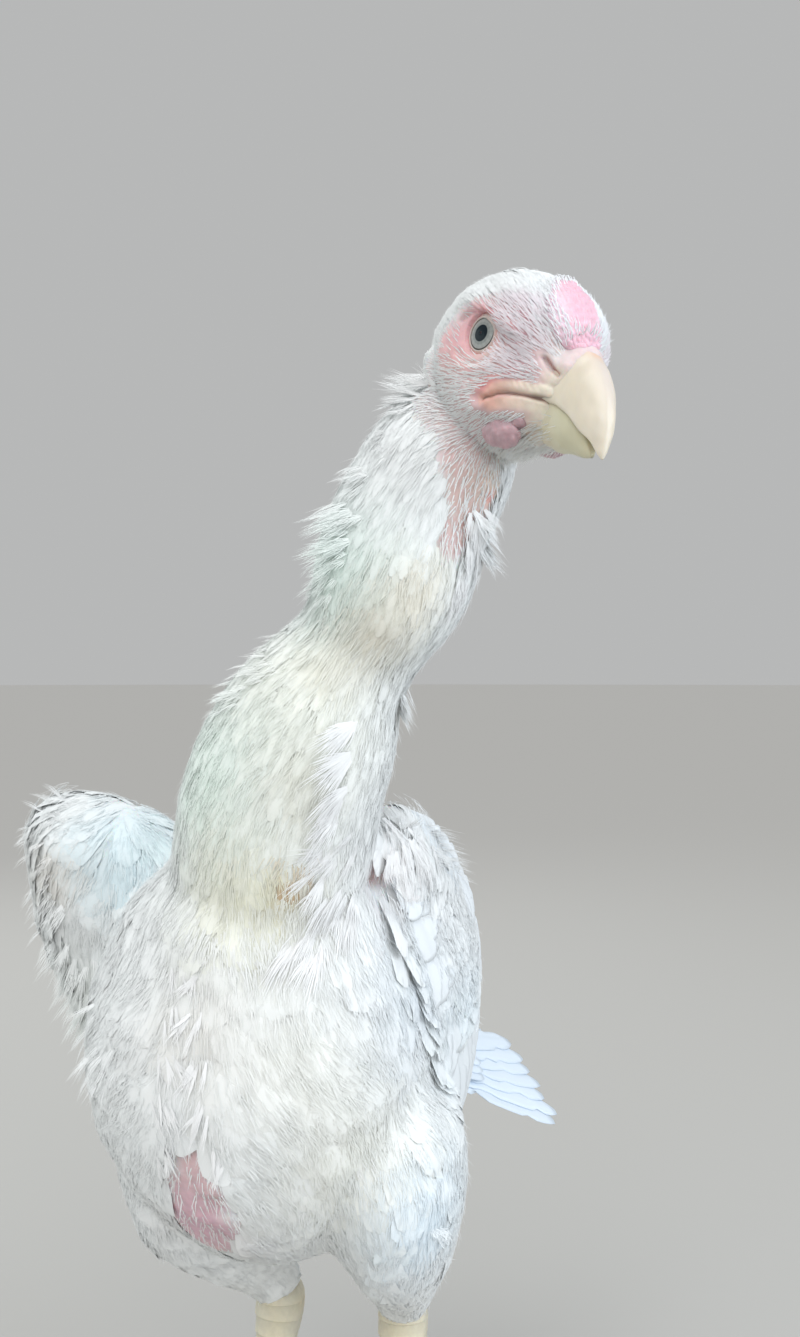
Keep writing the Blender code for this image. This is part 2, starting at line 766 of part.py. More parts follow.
def make_toe(name, heading, length, radius, side):
    """A toe that lies along the floor, thick at the root, its underside trimmed flat later."""
    turn = math.radians(heading)
    ahead = np.array((math.sin(turn) * side, -math.cos(turn), 0.0))
    across = np.array((ahead[1], -ahead[0], 0.0))
    up = np.array((0, 0, 1.0))
    root = np.array(FOOT_AT) * (side, 1, 1)
    rings = []
    for share, girth in TOE_SHAPE:
        r = radius * girth
        centre = root + ahead * length * share
        centre[2] = r * 0.92 - FLOOR_CUT + 4.5 * max(0.0, 1 - share * 3) ** 2
        rings.append(ring_about(centre, across, up, r, r, r * 0.92, TOE_SIDES))
    upper = np.clip(np.sin(np.arange(TOE_SIDES) * 2 * math.pi / TOE_SIDES) * 1.6, 0, 1)
    plates = max(3, round(length / TOE_PLATE))
    rings = stepped(rings, plates, TOE_RISE, upper)
    return loft(name, rings, "shank_scales"), root + ahead * length, ahead


def make_claw(name, tip, ahead, length, foot):
    """A blunt, curved claw that grows from the end of its toe and bends to the floor."""
    up = np.array((0, 0, 1.0))
    across = np.array((ahead[1], -ahead[0], 0.0))
    rings = []
    for share in np.linspace(0, 1, 5):
        radius = 2.7 * (1 - 0.78 * share)
        rise = 3.6 + 1.6 * math.sin(share * math.pi * 0.9) - 2.4 * share**2
        centre = tip + ahead * (length * (share - 0.22))
        centre[2] = max(rise, radius + 0.4)
        rings.append(ring_about(centre, across, up, radius * 0.8, radius, radius, 6))
    claw = loft(name, rings, "claw_horn")
    return cut_clear(claw, foot)


def make_leg(word, side, torso):
    outward = RIGHT_THIGH_OUT if side < 0 else 0.0
    thigh = loft(f"thigh_{word}", leg_rings(THIGH, side, 18, 14, outward), "plumage")
    cut_clear(thigh, torso)
    rings = leg_rings(SHANK, side, SHANK_SIDES, 24)
    front = np.sin(np.arange(SHANK_SIDES) * 2 * math.pi / SHANK_SIDES)
    rings = stepped(rings, SHANK_PLATES, SHANK_RISE, np.clip(front * 1.5, 0, 1))
    shank = loft(f"shank_{word}", rings, "shank_scales")
    cut_clear(shank, thigh)
    foot_at = np.array(FOOT_AT) * (side, 1, 1)
    foot = ellipsoid(f"foot_{word}", foot_at, (8.6, 9.4, 9.2), "shank_scales", segments=14)
    tips = []
    toes = []
    for toe, heading, length, radius, claw in TOES:
        piece, tip, ahead = make_toe(f"toe_{toe}", heading, length, radius, side)
        toes.append(piece)
        tips.append((toe, tip, ahead, claw))
    boolean(foot, toes, "UNION")
    boolean(foot, [block("under_floor", (0, 0, -10), (600, 600, 20))], "DIFFERENCE")
    cut_clear(shank, foot)
    for toe, tip, ahead, claw in tips:
        make_claw(f"claw_{word}_{toe}", tip, ahead, claw, foot)
    return thigh


def main():
    clear_scene()
    add_frames()
    torso = make_torso()
    neck_lower, neck_upper = make_neck(torso)
    make_head(neck_upper)
    thigh_left = make_leg("left", 1, torso)
    thigh_right = make_leg("right", -1, torso)
    tail = make_tail(torso)
    make_wing("wing_left", 1, 0.0, torso, neck_lower, thigh_left, tail)
    make_wing("wing_right", -1, RIGHT_WING_SPREAD, torso, neck_lower, thigh_right, tail)
    model = bpy.data.collections.new("shamo_chick")
    bpy.context.scene.collection.children.link(model)
    for obj in list(bpy.context.scene.collection.objects):
        bpy.context.scene.collection.objects.unlink(obj)
        model.objects.link(obj)


main()
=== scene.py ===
"""The looks of the shamo chick: one skin, a coat of solid feathers, its face, bill, eyes and scaled legs.

Lengths are in millimetres of the bird's own axes: it faces -Y, its left side is +X and the floor is z = 0.
"""

import json
import math

import bmesh
import bpy
import numpy as np
from mathutils import Matrix, Vector
from mathutils.bvhtree import BVHTree
from mathutils.kdtree import KDTree


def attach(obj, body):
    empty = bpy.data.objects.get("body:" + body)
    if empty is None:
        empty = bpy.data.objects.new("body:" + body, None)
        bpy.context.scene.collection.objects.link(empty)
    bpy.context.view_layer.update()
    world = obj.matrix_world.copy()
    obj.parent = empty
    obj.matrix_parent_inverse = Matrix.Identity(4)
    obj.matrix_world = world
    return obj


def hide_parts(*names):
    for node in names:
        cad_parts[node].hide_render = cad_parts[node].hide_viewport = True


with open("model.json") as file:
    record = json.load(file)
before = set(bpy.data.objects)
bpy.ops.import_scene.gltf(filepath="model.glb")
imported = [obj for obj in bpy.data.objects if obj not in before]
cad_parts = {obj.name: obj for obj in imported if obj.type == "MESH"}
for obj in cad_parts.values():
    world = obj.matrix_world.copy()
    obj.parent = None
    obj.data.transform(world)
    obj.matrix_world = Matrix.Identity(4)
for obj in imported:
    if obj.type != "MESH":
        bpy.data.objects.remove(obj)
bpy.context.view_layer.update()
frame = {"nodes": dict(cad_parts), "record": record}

MM = 0.001
# Middle of the left sole in the bird's axes. The record's mount there gives the place of those axes
SOLE_AT = (32.0, 38.0)
SOLE = next(m["pos_m"] for m in frame["record"]["mounts"] if m["name"] == "sole_left")
ORIGIN = np.array((SOLE[0] / MM - SOLE_AT[0], SOLE[1] / MM - SOLE_AT[1], 0.0))

# The photograph's camera: place, turn about the vertical and focal length in pixels, and the frame in pixels
CAMERA_AT = (174.9, -427.0, 374.5)
CAMERA_TURN = 17.0
FOCAL = 1300.0
PHOTO = (800, 1337)

# Head pose, as in the solids
HEAD_AT = (92.0, -43.0, 465.0)
HEAD_TURN = 52.0
HEAD_DOWN = 12.5
HEAD_ROLL = -8.0
HEAD_SCALE = 0.98

# Skull and face skin in the head's own axes, x to the beak: x, top z, bottom z, half width
HEAD = (
    (-29, 2, -6, 2),
    (-27, 9, -13, 9),
    (-22.5, 15.5, -20, 14),
    (-16, 21, -24, 17.5),
    (-8, 25.5, -26.5, 20),
    (1, 27.5, -27, 21),
    (10, 27.3, -26, 20.5),
    (18, 25, -24, 18.5),
    (25, 20.5, -21.5, 15),
    (30.5, 13.5, -19, 10.5),
    (34.5, 2, -10, 2.5),
)
# Strokes that shape the face on both sides: from, to, radius, push outwards
FACE_STROKES = (
    ((-2, 18, 13.5), (19, 12.5, 12), 4.2, 2.4),
    ((8, 20, 6), (8, 20, 6), 7.0, -4.2),
    ((19, 14, 3), (22, 12, -2), 4.5, -1.6),
    ((-8, 21, -3), (4, 20, -13), 7.0, 1.4),
    ((-22, 17, -4), (-13, 17, -22), 3.5, 1.8),
    ((6, 17, -15.5), (22, 11, -14), 2.6, 1.3),
)
EYE_AT = (6.3, 12.6, 5.3)
EYE_RADIUS = 7.4
EYE_OUT = (0.10, 1.0, 0.02)
LID_OPENING = 5.05
# Section of a lid: distance out from the opening, height over the eyeball, how much it wrinkles
LID_PROFILE = (
    (0.30, -0.9, 0),
    (-0.05, -0.1, 0),
    (-0.05, 0.35, 0),
    (0.25, 0.62, 0.2),
    (0.8, 0.75, 0.6),
    (1.5, 0.80, 1.0),
    (2.4, 0.72, 1.0),
    (3.3, 0.35, 0.8),
    (4.3, -0.5, 0.3),
    (4.6, -2.0, 0),
    (2.0, -3.0, 0),
)
LID_MARGIN = (0.66, 0.56, 0.52)
LID_SKIN = (0.83, 0.55, 0.50)

# Upper bill: culmen x and z, cutting edge x and z, half width. Lower bill: cutting edge, keel, half width
BILL_UPPER = (
    (19, 10.5, 14, -12, 10.5),
    (25, 9.5, 21, -11.4, 10.2),
    (31.5, 7.8, 28, -10.9, 9.2),
    (38, 4.6, 34.5, -12.0, 7.9),
    (44, -0.8, 39.5, -14.6, 6.5),
    (48.4, -8, 43.4, -17.8, 5.0),
    (50.6, -15, 46.9, -20.0, 3.4),
    (51.2, -20.5, 49.2, -22.8, 1.8),
    (50.9, -23.9, 50.3, -24.3, 0.4),
)
BILL_LOWER = (
    (13, -10.5, 12, -20.5, 9.0),
    (20, -10.5, 19, -21.5, 8.8),
    (28, -10, 26, -22.5, 8.0),
    (34.5, -11, 32, -24, 6.8),
    (39.5, -13.5, 38, -24.0, 5.3),
    (43.2, -17, 43, -24.6, 3.4),
    (45.8, -22.4, 46.2, -24.2, 1.0),
)
# Slant of the edge between flesh and horn, in the head's x for each millimetre of height
HORN_SLANT = 0.36
LIP_CORNER = (0.84, 0.50, 0.41)
LIP_FRONT = (0.90, 0.79, 0.66)
CERE = (0.86, 0.78, 0.64)
# Painted shade: dark in the mouth's slit, deep red in the brow's grooves and dark red in the nostril's slit
MOUTH_SHADE = (0.20, 0.10, 0.07)
BROW_GROOVE_SHADE = (0.72, 0.20, 0.20)
NOSTRIL_SHADE = (0.42, 0.13, 0.10)
# Half the outline of each bill's section, from the middle of its top to the middle of its underside
UPPER_SHAPE = (
    (0, 0),
    (0.03, 0.36),
    (0.2, 0.7),
    (0.5, 0.93),
    (0.8, 1.0),
    (1.0, 0.93),
    (0.96, 0.55),
    (0.93, 0),
)
LOWER_SHAPE = ((0.06, 0), (0.03, 0.6), (0, 0.97), (0.3, 1.0), (0.65, 0.8), (0.92, 0.42), (1.0, 0))

# Lines on the left side of the face, in the head's own axes
NOSTRIL = ((29.4, 0, 0.5), (30.9, 0, -1.5), (33.2, 0, -3.1))
BROW_CREASE = (
    (-2, 0, 8.5),
    (1.5, 0, 10.8),
    (6, 0, 11.4),
    (10.5, 0, 9.6),
    (14.5, 0, 6.2),
    (16.5, 0, 3.0),
)
MOUTH = (
    (12.8, 16.5, -13.3),
    (17.3, 16.3, -11.3),
    (20.4, 15.3, -10.7),
    (25, 13.2, -10.5),
    (30.6, 10.0, -10.7),
    (35.8, 8.0, -11.9),
)
LIP_UPPER = (
    (12.6, 16.0, -12.6),
    (16.6, 16.2, -9.7),
    (20.4, 15.0, -8.8),
    (25, 13.0, -8.5),
    (30.6, 9.6, -8.7),
    (34, 8.2, -9.6),
)
LIP_LOWER = (
    (12.4, 15.6, -14.2),
    (15.5, 15.4, -14.3),
    (19, 14.3, -13.4),
    (23.5, 12.5, -12.6),
    (28, 9.8, -12.6),
    (31, 8.2, -13.0),
)

COMB_AT = (26.0, 0.0, 14.6)
COMB_SIZE = (12.8, 10.6, 4.9)
COMB_SLOPE = 54.0
COMB_LEAN = -2.2
WATTLE_AT = (15.0, 9.4, -20.4)
WATTLE_SIZE = (8.8, 4.2, 5.4)

# Guides of the lie of the feathers, from the bill to the tail and down each thigh: x, y, z, half width there
TORSO_GUIDE = (
    (2, -26, 323, 30),
    (-5, -14, 283, 50),
    (-12, 14, 239, 64),
    (-9, 56, 206, 54),
    (-1, 102, 203, 31),
    (4, 128, 212, 18),
    (14, 160, 205, 16),
)
NECK_GUIDE = (
    (79, -35, 459, 20),
    (71, -34, 444, 24),
    (60, -33, 425, 26),
    (47.5, -32, 394, 24),
    (32, -30.5, 372, 25),
    (13, -27, 336, 33),
)
THIGH_GUIDE = (
    (30, 22, 222, 22),
    (36, 24, 190, 30),
    (34.5, 33, 170, 26),
    (29, 54, 141, 16),
    (26, 64, 123, 10),
)

# Folded wing in its own plane: a runs down and back from the wrist, b runs back and up
WING_WRIST = (2.0, 311.0)
WING_SLOPE = 58.0
WING_OUT = 56.0
WING_CORE = (
    (-15, 3, 4, 5),
    (-11, 3, 13, 15),
    (0, 4, 20, 24),
    (18, 5, 26, 29),
    (42, 7, 31, 28),
    (72, 9, 33, 22),
    (94, 11, 29, 14),
    (108, 12, 20, 7),
    (113, 12, 8, 3),
)
RIGHT_WING_SPREAD = 51.0
RIGHT_WING_FILL = 26.0
# Tiers of the wing, finer than in the solids: count, then a, b, length, width and heading of the first and of
# the last feather, then how far the tier lies under the outer face
WING_TIERS = (
    (9, (-3, -10, 22, 8, -8), (-6, 15, 20, 8, 11), 0.0),
    (9, (4, -11, 30, 9, -6), (2, 20, 28, 9, 9), 0.0),
    (11, (22, -15, 37, 10, -5), (20, 26, 34, 10, 10), 0.0),
    (12, (44, -17, 48, 11, -4), (42, 31, 44, 11, 11), 0.0),
    (13, (72, -16, 72, 13, -1), (66, 34, 62, 13, 14), 0.0),
    (9, (98, -12, 82, 12, 0), (92, 10, 66, 12, 6), 4.0),
)

TAIL_ROOT = (0.0, 116.0, 213.0)
TAIL_DROOP = 10.0
TAIL_SWING = 13.0
TAIL_TENT = 30.0
TAIL_CORE = ((-16, 8, 9), (0, 17, 20), (16, 19, 19), (32, 17, 13), (42, 12, 7), (46, 5, 3))
# Half the count of a tier, length in the middle and at the side, width, half fan, height over the middle
TAIL_TIERS = (
    (7, 112, 94, 19, 30.0, 0.0),
    (6, 60, 46, 12, 26.0, 3.0),
)
TAIL_STEP = 1.05
TAIL_SPACING = (7.0, 1.3)

# Bare shank of the left leg, hock to ankle: x, y, z, half width, half depth
SHANK = (
    (26, 64.5, 126, 6.0, 6.5),
    (26, 64.5, 122.5, 9.2, 10),
    (26.2, 63.5, 114, 9.4, 10.2),
    (27, 60.5, 101, 7.6, 8.4),
    (28.5, 54.5, 78, 6.3, 7.2),
    (30, 48, 50, 6.2, 7.2),
    (31.2, 42.5, 27, 7.0, 7.8),
    (31.8, 40, 17, 8.0, 8.6),
    (32, 39.5, 11, 6.0, 6.5),
)
FOOT_AT = (32.0, 38.0, 8.5)
FOOT_SIZE = (8.6, 9.4, 9.2)
FLOOR_CUT = 0.8
# Toes of the left foot: name, heading from straight ahead, length, root radius, claw length
TOES = (
    ("inner", -34.0, 41.0, 5.4, 12.0),
    ("middle", 3.0, 57.0, 5.8, 13.0),
    ("outer", 37.0, 47.0, 5.4, 12.0),
    ("hind", 190.0, 22.0, 4.8, 12.0),
)
TOE_SHAPE = (
    (-0.06, 0.4),
    (0.0, 0.95),
    (0.14, 1.0),
    (0.3, 0.9),
    (0.42, 0.98),
    (0.56, 0.8),
    (0.7, 0.88),
    (0.84, 0.72),
    (0.97, 0.7),
    (1.0, 0.35),
)

# How deep the skin lies under the solids' surface: face, neck, body
COAT_DEPTH = (0.5, 2.4, 3.4)
SKIN_VOXEL = 1.7
FLESH_NODES = ("torso", "neck_lower", "neck_upper", "thigh_left", "thigh_right")
# Heights between which the body's coat turns into the neck's
NECK_BASE = (318, 345)

WHITE = (0.935, 0.95, 0.95)
TUFT_WHITE = (0.97, 0.97, 0.97)
# Length of a tuft's template in millimetres, and the tries and pixels of each step back to the bird
TUFT_LENGTH = 16
TUFT_TRIES = 15
TUFT_STEP = 3
# Side of a feather's patch on the baking map
COAT_PATCH = 0.003
VANE_PATCH = 0.0015
# Colours of skin and coat, each where the ray through its pixel of the photo meets the skin:
# pixel, radius, colour, strength. On the coat the blue and cyan ones are painted light, the cool light
# from the sky, with painted shade where they are darker; the cream, brown and pink ones are the coat's own
# stains and bare skin.
COAT_MARKS_AND_LIGHT = (
    ((500, 275), 22, (0.66, 0.79, 0.94), 0.9),
    ((345, 470), 24, (0.68, 0.88, 0.90), 0.9),
    ((350, 560), 22, (0.82, 0.95, 0.89), 0.8),
    ((420, 570), 10, (0.93, 0.87, 0.74), 0.7),
    ((385, 615), 11, (0.94, 0.88, 0.75), 0.75),
    ((340, 650), 10, (0.94, 0.90, 0.78), 0.6),
    ((470, 590), 18, (0.94, 0.96, 0.97), 0.7),
    ((300, 690), 24, (0.94, 0.95, 0.84), 0.6),
    ((220, 760), 26, (0.84, 0.95, 0.88), 0.8),
    ((250, 870), 20, (0.93, 0.92, 0.76), 0.75),
    # Painted shade between the fans' barbs, over the coat's own cream
    ((310, 765), 13, (0.86, 0.86, 0.78), 0.8),
    ((298, 855), 4.5, (0.62, 0.44, 0.26), 0.95),
    ((275, 868), 5, (0.84, 0.80, 0.58), 0.6),
    ((130, 840), 18, (0.78, 0.92, 0.97), 0.85),
    ((90, 1000), 30, (0.90, 0.94, 0.90), 0.6),
    ((200, 1000), 14, (0.93, 0.90, 0.85), 0.5),
    ((290, 1040), 24, (0.95, 0.94, 0.86), 0.5),
    ((345, 1150), 30, (0.95, 0.94, 0.84), 0.6),
    ((200, 1225), 12, (0.86, 0.76, 0.76), 0.6),
    ((400, 980), 26, (0.88, 0.93, 0.97), 0.8),
    ((445, 1000), 22, (0.86, 0.93, 0.97), 0.8),
    ((420, 1200), 22, (0.80, 0.90, 0.97), 0.8),
    ((375, 860), 8, (0.92, 0.72, 0.71), 0.55),
    ((60, 860), 10, (0.90, 0.84, 0.76), 0.5),
)
SKIN_MARKS = (
    ((460, 345), 9, (0.86, 0.42, 0.36), 0.8),
    ((500, 320), 7, (0.84, 0.38, 0.36), 0.8),
    ((520, 375), 6, (0.82, 0.50, 0.52), 0.8),
    ((490, 388), 4, (0.84, 0.33, 0.30), 0.9),
    ((430, 405), 9, (0.66, 0.56, 0.56), 0.7),
    ((500, 440), 9, (0.66, 0.40, 0.42), 0.8),
    ((540, 445), 10, (0.72, 0.64, 0.50), 0.9),
    ((470, 500), 14, (0.74, 0.55, 0.51), 0.9),
    ((500, 480), 9, (0.78, 0.68, 0.56), 0.8),
    ((470, 520), 2.4, (0.70, 0.28, 0.24), 0.8),
    ((490, 497), 2.2, (0.72, 0.25, 0.22), 0.8),
    ((200, 1225), 24, (0.72, 0.46, 0.54), 0.97),
)
# Tints of the face, on both sides, in the head's own axes: place, radius, colour, strength
FACE_TINTS = (
    ((5, 18, 6), 12, (0.84, 0.52, 0.55), 0.8),
    ((-4, 19, 3), 6.5, (0.84, 0.50, 0.54), 0.75),
    ((3, 18, 15), 6.5, (0.80, 0.34, 0.38), 0.8),
    ((12, 16, 12), 6.5, (0.80, 0.34, 0.39), 0.8),
    ((20, 14, 7), 6, (0.82, 0.42, 0.50), 0.75),
    ((23, 11, 15), 7, (0.86, 0.60, 0.70), 0.6),
    ((14, 15, 19), 7, (0.88, 0.86, 0.92), 0.75),
    ((14, 17, -1), 5, (0.80, 0.68, 0.62), 0.7),
    ((7, 17, -3), 3.4, (0.86, 0.66, 0.62), 0.6),
    ((20, 14, -5), 5, (0.83, 0.46, 0.50), 0.6),
    ((13, 16.5, -9), 4.5, (0.80, 0.33, 0.33), 0.8),
    ((-8, 17, -14), 10, (0.52, 0.46, 0.46), 0.6),
    ((14, 10, -22), 9, (0.58, 0.42, 0.42), 0.6),
    ((31, 8, 1), 5, (0.84, 0.79, 0.77), 0.85),
)

# Bare places outside the face: pixel, radius
BARE_SPOTS = (
    ((475, 455), 11),
    ((478, 490), 11),
    ((455, 535), 7),
    ((375, 862), 7),
    ((200, 1168), 8),
    ((198, 1195), 11),
    ((197, 1225), 15),
    ((205, 1243), 12),
)

# How surely a feather over bare skin is dropped
BARE_THINNING = 1.05

# Tufts of the photo: kind, pixel of the roots, way in the picture, count, scatter in pixels, length, lift of
# the tips. A tip stands free of the outline, a spray lies on the coat, a fan spreads and a pin is narrow
TUFTS = (
    ("tip", (416, 388), (-1.0, -0.12), 26, 5, 12, 0.4),
    ("tip", (404, 404), (-1.0, 0.5), 16, 5, 9, 0.2),
    ("tip", (384, 440), (-0.7, 0.8), 20, 8, 8, 0.2),
    ("tip", (364, 475), (-0.8, 0.6), 22, 8, 9, 0.2),
    ("tip", (346, 512), (-1.0, 0.35), 34, 8, 12, 0.3),
    ("tip", (340, 545), (-1.0, 0.5), 32, 8, 10, 0.3),
    ("tip", (330, 580), (-0.7, 0.8), 20, 8, 8, 0.2),
    ("tip", (268, 660), (-1.0, 0.45), 26, 10, 8, 0.2),
    ("tip", (235, 695), (-1.0, 0.6), 22, 10, 8, 0.2),
    ("tip", (484, 520), (0.5, 0.8), 14, 5, 7, 0.2),
    ("tip", (482, 552), (0.6, 0.8), 20, 5, 9, 0.3),
    ("spray", (476, 520), (0.15, 1.0), 12, 5, 13, 0.5),
    ("spray", (474, 550), (0.15, 1.0), 14, 6, 13, 0.6),
    ("spray", (462, 580), (0.1, 1.0), 14, 8, 14, 0.6),
    ("fan", (356, 724), (-1.0, 0.04), 5, 2, 20, 2.8),
    ("fan", (352, 752), (-1.0, 0.12), 5, 2, 21, 2.8),
    ("fan", (346, 784), (-1.0, 0.2), 5, 2, 22, 2.8),
    ("fan", (338, 814), (-0.9, 0.4), 4, 3, 19, 2.2),
    ("tip", (404, 712), (0.3, 1.0), 18, 4, 10, 0.6),
    ("tip", (408, 728), (0.45, 0.9), 14, 3, 9, 0.8),
    ("spray", (330, 845), (-1.0, 0.5), 14, 12, 15, 1.2),
    ("fan", (335, 890), (-0.75, 0.8), 9, 9, 19, 2.4),
    ("fan", (305, 930), (-0.65, 0.9), 8, 10, 18, 2.0),
    ("fan", (352, 905), (-0.5, 0.95), 7, 9, 17, 2.0),
    ("spray", (384, 850), (0.2, 1.0), 12, 6, 15, 0.8),
    ("spray", (404, 846), (0.5, 0.9), 14, 8, 17, 0.8),
    ("tip", (400, 836), (-0.1, -0.6), 10, 8, 6, 0.2),
    ("tip", (432, 846), (1.0, 0.6), 22, 7, 11, 0.5),
    ("tip", (448, 866), (1.0, 0.7), 26, 6, 11, 0.6),
    ("tip", (462, 900), (0.5, 1.0), 14, 5, 9, 0.4),
    ("pin", (178, 965), (0.45, 1.0), 4, 4, 11, 2.0),
    ("pin", (196, 975), (-0.5, 1.0), 4, 4, 11, 2.0),
    ("pin", (174, 1010), (0.5, 1.0), 5, 4, 12, 2.4),
    ("pin", (198, 1015), (-0.5, 1.0), 5, 4, 12, 2.4),
    ("pin", (172, 1055), (0.5, 1.0), 6, 4, 13, 2.6),
    ("pin", (200, 1060), (-0.5, 1.0), 6, 4, 13, 2.6),
    ("pin", (168, 1100), (0.45, 1.0), 6, 5, 13, 2.6),
    ("pin", (208, 1105), (-0.5, 1.0), 6, 5, 13, 2.6),
    ("pin", (164, 1150), (0.35, 1.0), 6, 5, 11, 2.0),
    ("pin", (222, 1160), (-0.4, 1.0), 6, 5, 11, 2.0),
    ("tip", (436, 1225), (0.6, 0.8), 8, 5, 5, 0.1),
    ("tip", (48, 850), (-0.5, 0.9), 14, 12, 7, 0.2),
    ("tip", (58, 806), (-0.9, 0.1), 14, 12, 6, 0.2),
    ("tip", (52, 905), (-0.3, 1.0), 18, 10, 11, 0.3),
    ("tip", (62, 960), (-0.35, 1.0), 30, 12, 14, 0.3),
    ("tip", (78, 1010), (-0.4, 1.0), 34, 12, 15, 0.3),
    ("tip", (96, 1060), (-0.3, 1.0), 24, 12, 13, 0.3),
)


def unit(v):
    v = np.asarray(v, float)
    return v / np.maximum(np.linalg.norm(v, axis=-1, keepdims=True), 1e-9)


def smooth_rows(rows, count):
    """Rows of sizes, eased through a Catmull-Rom curve and read at count even steps."""
    rows = np.array(rows, float)
    last = len(rows) - 1
    t = np.linspace(0, last, count)
    i = np.minimum(t.astype(int), last - 1)
    f = (t - i)[:, None]
    before, after = rows[np.maximum(i - 1, 0)], rows[np.minimum(i + 2, last)]
    start, end = rows[i], rows[i + 1]
    bend = 2 * before - 5 * start + 4 * end - after
    twist = 3 * start - before - 3 * end + after
    return 0.5 * (2 * start + (end - before) * f + bend * f**2 + twist * f**3)


def ease(x, low, high):
    """0 below low, 1 above high, smooth between them."""
    t = np.clip((x - low) / (high - low), 0, 1)
    return t * t * (3 - 2 * t)


def bell(x, width):
    """1 at 0, and falling away on both sides like a bell of this width."""
    return np.exp(-((x / width) ** 2))


def turns(count):
    """Even angles round a ring."""
    return np.arange(count) * 2 * math.pi / count


def oval(angle, across, up, wide, high):
    """Points round an oval that is wide along across and high along up, off its middle."""
    return np.outer(np.cos(angle) * wide, across) + np.outer(np.sin(angle) * high, up)


def picked(keep, arrays):
    return [array[keep] for array in arrays]


def toward(colour, shade, share):
    """Colours drawn towards a shade, each by its own share."""
    return colour + (np.asarray(shade) - colour) * np.asarray(share)[:, None]


def turning(degrees, axis):
    return Matrix.Rotation(math.radians(degrees), 3, axis)


def head_turning():
    facing = Matrix(((0, 1, 0), (-1, 0, 0), (0, 0, 1)))
    turn = turning(HEAD_TURN, "Z") @ facing @ turning(HEAD_DOWN, "Y") @ turning(HEAD_ROLL, "X")
    return np.array(turn)


HEAD_AXES = head_turning()


def from_head(points):
    return np.asarray(points, float) @ HEAD_AXES.T * HEAD_SCALE + HEAD_AT


def to_head(points):
    return (np.asarray(points, float) - HEAD_AT) @ HEAD_AXES / HEAD_SCALE


def mirrored(point, side):
    return (point[0], point[1] * side, point[2])


def side_word(side):
    return "left" if side > 0 else "right"


def noise(points, scale, seed=0):
    """Smooth noise from -1 to 1: a few sines in seeded directions, with lumps about as wide as scale."""
    draw = np.random.default_rng(seed)
    total = np.zeros(len(points))
    for _ in range(7):
        wave = unit(draw.normal(size=3)) * draw.uniform(0.7, 1.5) * 2 * math.pi / (2 * scale)
        total += np.sin(points @ wave + draw.uniform(0, 6.28))
    return total / 4.0


class Shape:
    """Points in millimetres with faces as arrays of equal corner counts, gathered before a mesh is made."""

    def __init__(self, points, *faces):
        self.points = np.asarray(points, float)
        self.faces = [np.asarray(group, int) for group in faces if len(group)]

    def joined(self, other):
        moved = [group + len(self.points) for group in other.faces]
        return Shape(np.concatenate([self.points, other.points]), *self.faces, *moved)


def make_object(name, shape, material=None, tint=None, bake_map=None, normals=None, rims=None):
    """A mesh object from a shape, with optional colours and a baking map by point, and normals by corner that
    break at the rims, pairs of points."""
    mesh = bpy.data.meshes.new(name)
    corners = np.concatenate([group.ravel() for group in shape.faces])
    sizes = np.concatenate([np.full(len(group), group.shape[1]) for group in shape.faces])
    mesh.vertices.add(len(shape.points))
    mesh.vertices.foreach_set("co", ((shape.points + ORIGIN) * MM).astype(np.float32).ravel())
    mesh.loops.add(len(corners))
    mesh.loops.foreach_set("vertex_index", corners.astype(np.int32))
    mesh.polygons.add(len(sizes))
    mesh.polygons.foreach_set("loop_start", (np.cumsum(sizes) - sizes).astype(np.int32))
    mesh.polygons.foreach_set("use_smooth", np.ones(len(sizes), bool))
    mesh.update(calc_edges=True)
    if tint is not None:
        layer = mesh.color_attributes.new("tint", "FLOAT_COLOR", "POINT")
        layer.data.foreach_set("color", np.c_[tint, np.ones(len(tint))].astype(np.float32).ravel())
    if bake_map is not None:
        layer = mesh.uv_layers.new(name="OFBake")
        layer.data.foreach_set("uv", bake_map[corners].astype(np.float32).ravel())
    if normals is not None:
        layer = mesh.attributes.new("custom_normal", "FLOAT_VECTOR", "CORNER")
        layer.data.foreach_set("vector", normals.astype(np.float32).ravel())
        pairs = np.empty(2 * len(mesh.edges), np.int32)
        mesh.edges.foreach_get("vertices", pairs)
        known = edge_keys(rims, len(shape.points))
        layer = mesh.attributes.new("sharp_edge", "BOOLEAN", "EDGE")
        layer.data.foreach_set("value", np.isin(edge_keys(pairs.reshape(-1, 2), len(shape.points)), known))
    if material is not None:
        mesh.materials.append(material)
    obj = bpy.data.objects.new(name, mesh)
    bpy.context.scene.collection.objects.link(obj)
    return obj


def edge_keys(pairs, count):
    """One number for each pair of points, whichever way round it is."""
    return pairs.min(1).astype(np.int64) * count + pairs.max(1)


def rims_of(faces, up):
    """Edges of a template where a face that looks up meets one that looks down."""
    sides = {}
    for row, above in zip(faces.tolist(), up.tolist()):
        for n in range(3):
            sides.setdefault(frozenset((row[n], row[n - 1])), set()).add(above)
    return np.array([sorted(edge) for edge, found in sides.items() if len(found) == 2])


def put(obj, slot, *nodes):
    """Sets a finished piece on the body, in place of its nodes. slot is not used."""
    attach(obj, "root")
    if nodes:
        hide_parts(*nodes)
    return obj


def loft(rings):
    """A closed shape through rings of equal point counts."""
    rings = np.array(rings, float)
    count, sides = rings.shape[:2]
    points = np.concatenate([rings.reshape(-1, 3), [rings[0].mean(0)], [rings[-1].mean(0)]])
    i, j = np.meshgrid(np.arange(count - 1), np.arange(sides), indexing="ij")
    k = (j + 1) % sides
    quads = np.stack([i * sides + j, i * sides + k, (i + 1) * sides + k, (i + 1) * sides + j], -1)
    quads = quads.reshape(-1, 4)
    j = np.arange(sides)
    k = (j + 1) % sides
    first, last = count * sides, count * sides + 1
    end = (count - 1) * sides
    caps = np.concatenate([np.c_[np.full(sides, first), k, j], np.c_[np.full(sides, last), end + j, end + k]])
    return outward(Shape(points, quads, caps))


